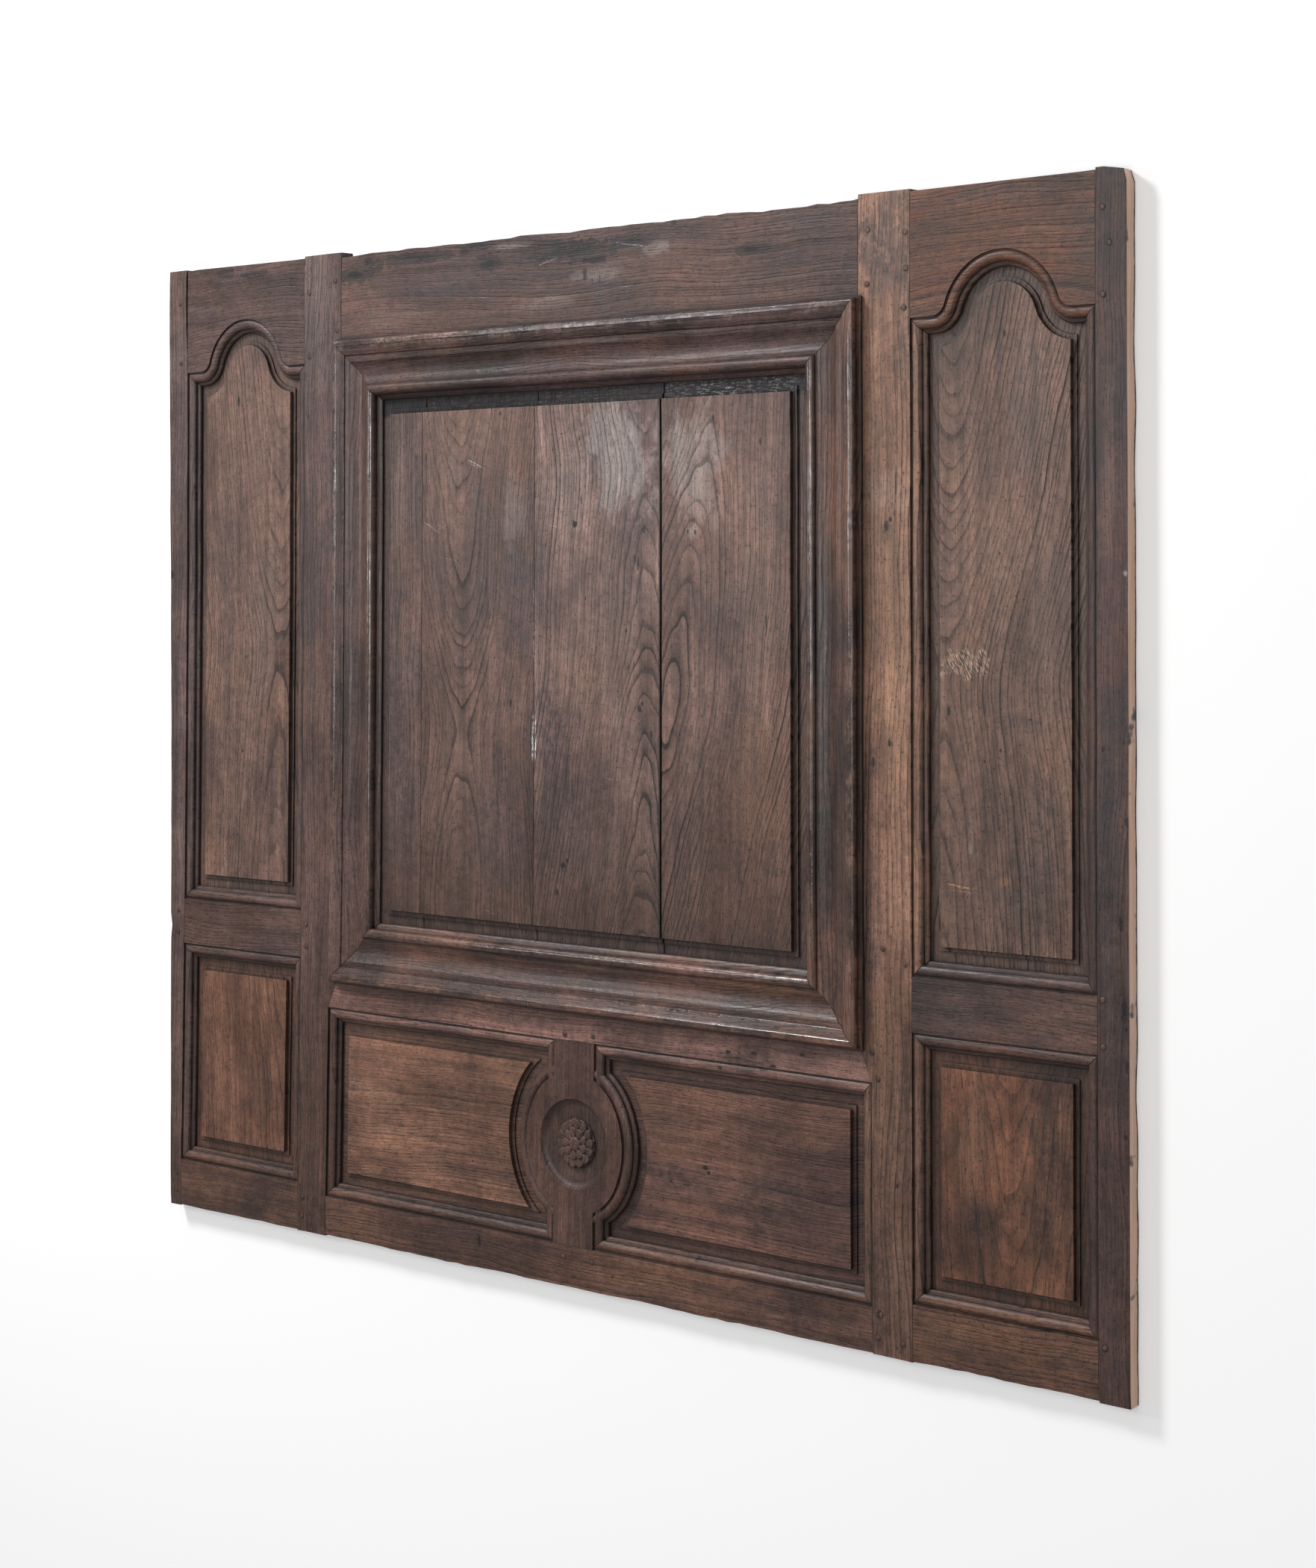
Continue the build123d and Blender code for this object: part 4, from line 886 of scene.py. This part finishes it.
               (1640, 1300, 60, 200, (138, 112, 100), 0.4), (1650, 950, 90, 130, (132, 94, 74), 0.55),
               (1480, 900, 50, 160, (100, 78, 70), 0.5), (1600, 760, 120, 60, (112, 80, 66), 0.5)],
        scratches=[(1640, 1110, 1720, 1104, 0.9, PALE_MARK_AND_SHEEN, 0.5), (1540, 1096, 1620, 1094, 0.9, PALE_MARK_AND_SHEEN, 0.5),
                   (1700, 1010, 1730, 1022, 1.0, BARE, 0.5)]),
}

looks = {node: oak("oak_" + node, seed, **look) for seed, (node, look) in enumerate(LOOKS.items(), 1)}

for node, material in looks.items():
    board = "board" in node
    panel = board or "panel" in node
    slot = "panel_oak" if panel else "bolection_oak" if "bolection" in node else "frame_oak"
    step_x, step_y = (0.06, 0.026) if LOOKS[node]["along"] == "Y" else (0.026, 0.06)
    if panel or node == "medallion_muntin":
        step_x = step_y = 0.05
    piece(node, material, step_x, step_y, arris=0.0005 if board else 0.0006)


# Rosette: petals carved on the floor of the medallion's recess

BOSS_RADIUS = 0.0125
RIM_RADIUS = 0.0468


def petal_height(radius, turn, count, inner, outer, start, top):
    """Rise of one ring of petals at a place given by its radius and turn."""
    if not inner < radius < outer:
        return 0.0
    step = 2 * pi / count
    spread = (turn - start + step / 2) % step - step / 2
    share = (radius - inner) / (outer - inner)
    half = max(1 - (abs(share - 0.58) / (0.42 if share > 0.58 else 0.62)) ** 2.4, 0.0) ** 0.5
    reach = abs(spread) / (step / 2) / max(half * 1.05, 0.02)
    if reach >= 1:
        return 0.35 * top if share < 0.6 else 0.0  # the low ground between two petals
    return top * (0.55 + 0.45 * (1 - reach**2) ** 0.5) * (0.78 + 0.22 * share)


def rosette(material):
    """Carved flower: a boss, nine inner petals and fourteen outer ones, worn on its left side."""
    work = bmesh.new()
    rows, turns = 46, 240
    floor_z = FACE_Z - 0.008
    grid = []
    for row in range(rows + 1):
        radius = RIM_RADIUS * row / rows
        ring = []
        for index in range(turns if row else 1):
            turn = 2 * pi * index / turns
            wobble = 0.0007 * noise.noise(Vector((3 * cos(turn), 3 * sin(turn), 4.0)))
            reach = radius + wobble
            rise = max(0.0004, petal_height(reach, turn, 14, 0.0265, 0.0455, 0.10, 0.0058),
                       petal_height(reach, turn, 9, 0.0105, 0.0305, 0.35, 0.0070))
            if reach < BOSS_RADIUS:
                lobe = 0.75 + 0.25 * abs(cos(2.5 * turn))
                rise = max(rise, 0.0050 + 0.0030 * lobe * (1 - (reach / BOSS_RADIUS) ** 2) ** 0.5)
            worn = max(0.0, min(1.0, (-cos(turn) * radius / ROSETTE_RADIUS - 0.1)))
            rise *= 1 - 0.30 * worn
            rise += 0.00025 * noise.noise(Vector((radius * cos(turn) * 220, radius * sin(turn) * 220, 1.0)))
            if row == rows:
                rise = -0.0012
            place = Vector((ROSETTE[0] + radius * cos(turn), ROSETTE[1] + radius * sin(turn), floor_z + rise))
            ring.append(work.verts.new(age(place, "rosette")))
        grid.append(ring)
    for index in range(turns):
        after = (index + 1) % turns
        work.faces.new((grid[0][0], grid[1][index], grid[1][after]))
        for row in range(1, rows):
            work.faces.new((grid[row][index], grid[row + 1][index], grid[row + 1][after], grid[row][after]))
    finish_mesh(work, "rosette_carving", [material], ["medallion_muntin"])


rosette(looks["medallion_muntin"])


# Pegs of the mortise and tenon joints, as (u, v) in millimetres

PEGS = (
    (36, 1927), (38, 1800), (447, 1923), (447, 1792), (525, 1942), (530, 1841), (1879, 1935), (1959, 1925),
    (1960, 1863), (1877, 1842), (1956, 1796), (2354, 1934), (2367, 1875), (2355, 1792), (1884, 519), (1897, 474),
    (1169, 478), (1240, 480), (1908, 699), (1901, 71), (1895, 31), (1948, 29), (2350, 652), (2350, 576),
    (1955, 676), (2352, 91), (447, 630), (447, 585), (36, 630), (36, 585), (36, 70), (36, 32), (447, 70), (447, 32),
    (1169, 60), (1240, 58),
)


def pegs(material):
    """Small worn pegs, each a little proud in its dark hole."""
    work = bmesh.new()
    for number, (u, v) in enumerate(PEGS):
        centre = uv(u, v)
        size = 0.0046 + 0.0006 * noise.noise(Vector((number * 1.7, 3.0, 0.0)))
        sides = 14
        rings = ((1.30, 0.0), (1.26, -0.0007), (1.02, -0.0007), (0.98, 0.0001), (0.6, 0.0004))
        made = []
        for reach, rise in rings:
            ring = []
            for index in range(sides):
                turn = 2 * pi * index / sides
                bulge = 1 + 0.10 * noise.noise(Vector((number * 2.3 + cos(turn), sin(turn), 7.0)))
                x = centre[0] + size * reach * bulge * cos(turn)
                y = centre[1] + size * reach * bulge * sin(turn)
                ring.append(work.verts.new(age(Vector((x, y, FACE_Z + rise + 0.00035)), "peg")))
            made.append(ring)
        for low, high in zip(made, made[1:]):
            for index in range(sides):
                after = (index + 1) % sides
                face = work.faces.new((low[index], low[after], high[after], high[index]))
                face.material_index = 1 if low is made[0] or low is made[1] else 0
        work.faces.new(made[-1])
    finish_mesh(work, "frame_pegs", [material, JOINT_DARK], [])


pegs(oak("oak_pegs", seed=31, along="Y", light=(98, 74, 65), deep=(69, 51, 45), lines=0.3))


# Stage: pale floor, soft lights and the camera

def stage_floor():
    """Large pale floor that shows white to the camera and keeps the shadow."""
    mesh = bpy.data.meshes.new("floor")
    reach = 14.0
    mesh.from_pydata(
        [(-reach, -reach, 0), (reach, -reach, 0), (reach, reach, 0), (-reach, reach, 0)], [], [(0, 1, 2, 3)]
    )
    t = Material("floor_pale")
    path = t.new("LightPath")
    seen = t.math("MAXIMUM", path.outputs["Is Camera Ray"], path.outputs["Is Glossy Ray"])
    seen = t.math("MAXIMUM", seen, path.outputs["Is Transmission Ray"])
    diffuse = t.new("BsdfDiffuse")
    diffuse.inputs["Color"].default_value = (0.8, 0.8, 0.8, 1)
    glow = t.new("Emission")
    t.put(glow.inputs["Strength"], t.mul(seen, 0.3))
    both = t.new("AddShader")
    t.put(both.inputs[0], diffuse.outputs[0])
    t.put(both.inputs[1], glow.outputs[0])
    t.put(t.out.inputs["Surface"], both.outputs[0])
    mesh.materials.append(t.material)
    add_object("floor", mesh)


def soft_light(name, place, aim, size, power):
    """Soft rectangular lamp aimed at a point."""
    data = bpy.data.lights.new(name, "AREA")
    data.shape = "RECTANGLE"
    data.size, data.size_y = size
    data.energy = power
    lamp = add_object(name, data)
    lamp.location = place
    lamp.rotation_euler = (Vector(aim) - Vector(place)).to_track_quat("-Z", "Y").to_euler()
    return lamp


stage_floor()
soft_light("key", (-3.4, 4.4, 3.4), (0.0, 0.1, 0.0), (1.3, 1.3), 320)
soft_light("window", (-2.75, 0.75, 3.3), (0.1, 0.4, 0.0), (0.9, 0.9), 26)
glint = soft_light("strip", (0.25, 0.8, 3.6), (0.25, 0.6, 0.0), (0.10, 2.4), 48)
glint.visible_diffuse = False  # it only shows in glossy wood
soft_light("fill", (2.4, 0.6, 4.6), (0.2, 0.0, 0.0), (2.5, 2.5), 45)

# Strength of the white sky as a light; the camera sees it in full
SKY = 0.34
scene = bpy.context.scene
world = bpy.data.worlds.new("studio")
scene.world = world
world.use_nodes = True
sky = Tree(world.node_tree)
sky_path = sky.new("LightPath")
background = sky.tree.nodes["Background"]
background.inputs["Color"].default_value = (1, 1, 1, 1)
sky.put(background.inputs["Strength"], sky.muladd(sky_path.outputs["Is Camera Ray"], 1 - SKY, SKY))

# The photograph in pixels: height, focal length and the row of the optical axis
PHOTO_HEIGHT = 2100
FOCAL = 3903
MIDDLE_ROW = 757
forward = Vector((-0.6598, 0.0064, -0.7514)).normalized()
right = forward.cross(Vector((0.0059, 1.0, 0.0033))).normalized()
up = right.cross(forward)
camera_data = bpy.data.cameras.new("camera")
camera_data.sensor_width = 36
camera_data.sensor_fit = "AUTO"
camera_data.lens = 36 * FOCAL / PHOTO_HEIGHT
camera_data.shift_y = -(PHOTO_HEIGHT / 2 - MIDDLE_ROW) / PHOTO_HEIGHT
camera = add_object("camera", camera_data)
camera.matrix_world = Matrix((
    (right.x, up.x, -forward.x, 3.719),
    (right.y, up.y, -forward.y, 0.326),
    (right.z, up.z, -forward.z, 4.044),
    (0, 0, 0, 1),
))
scene.camera = camera
scene.view_settings.view_transform = "Standard"
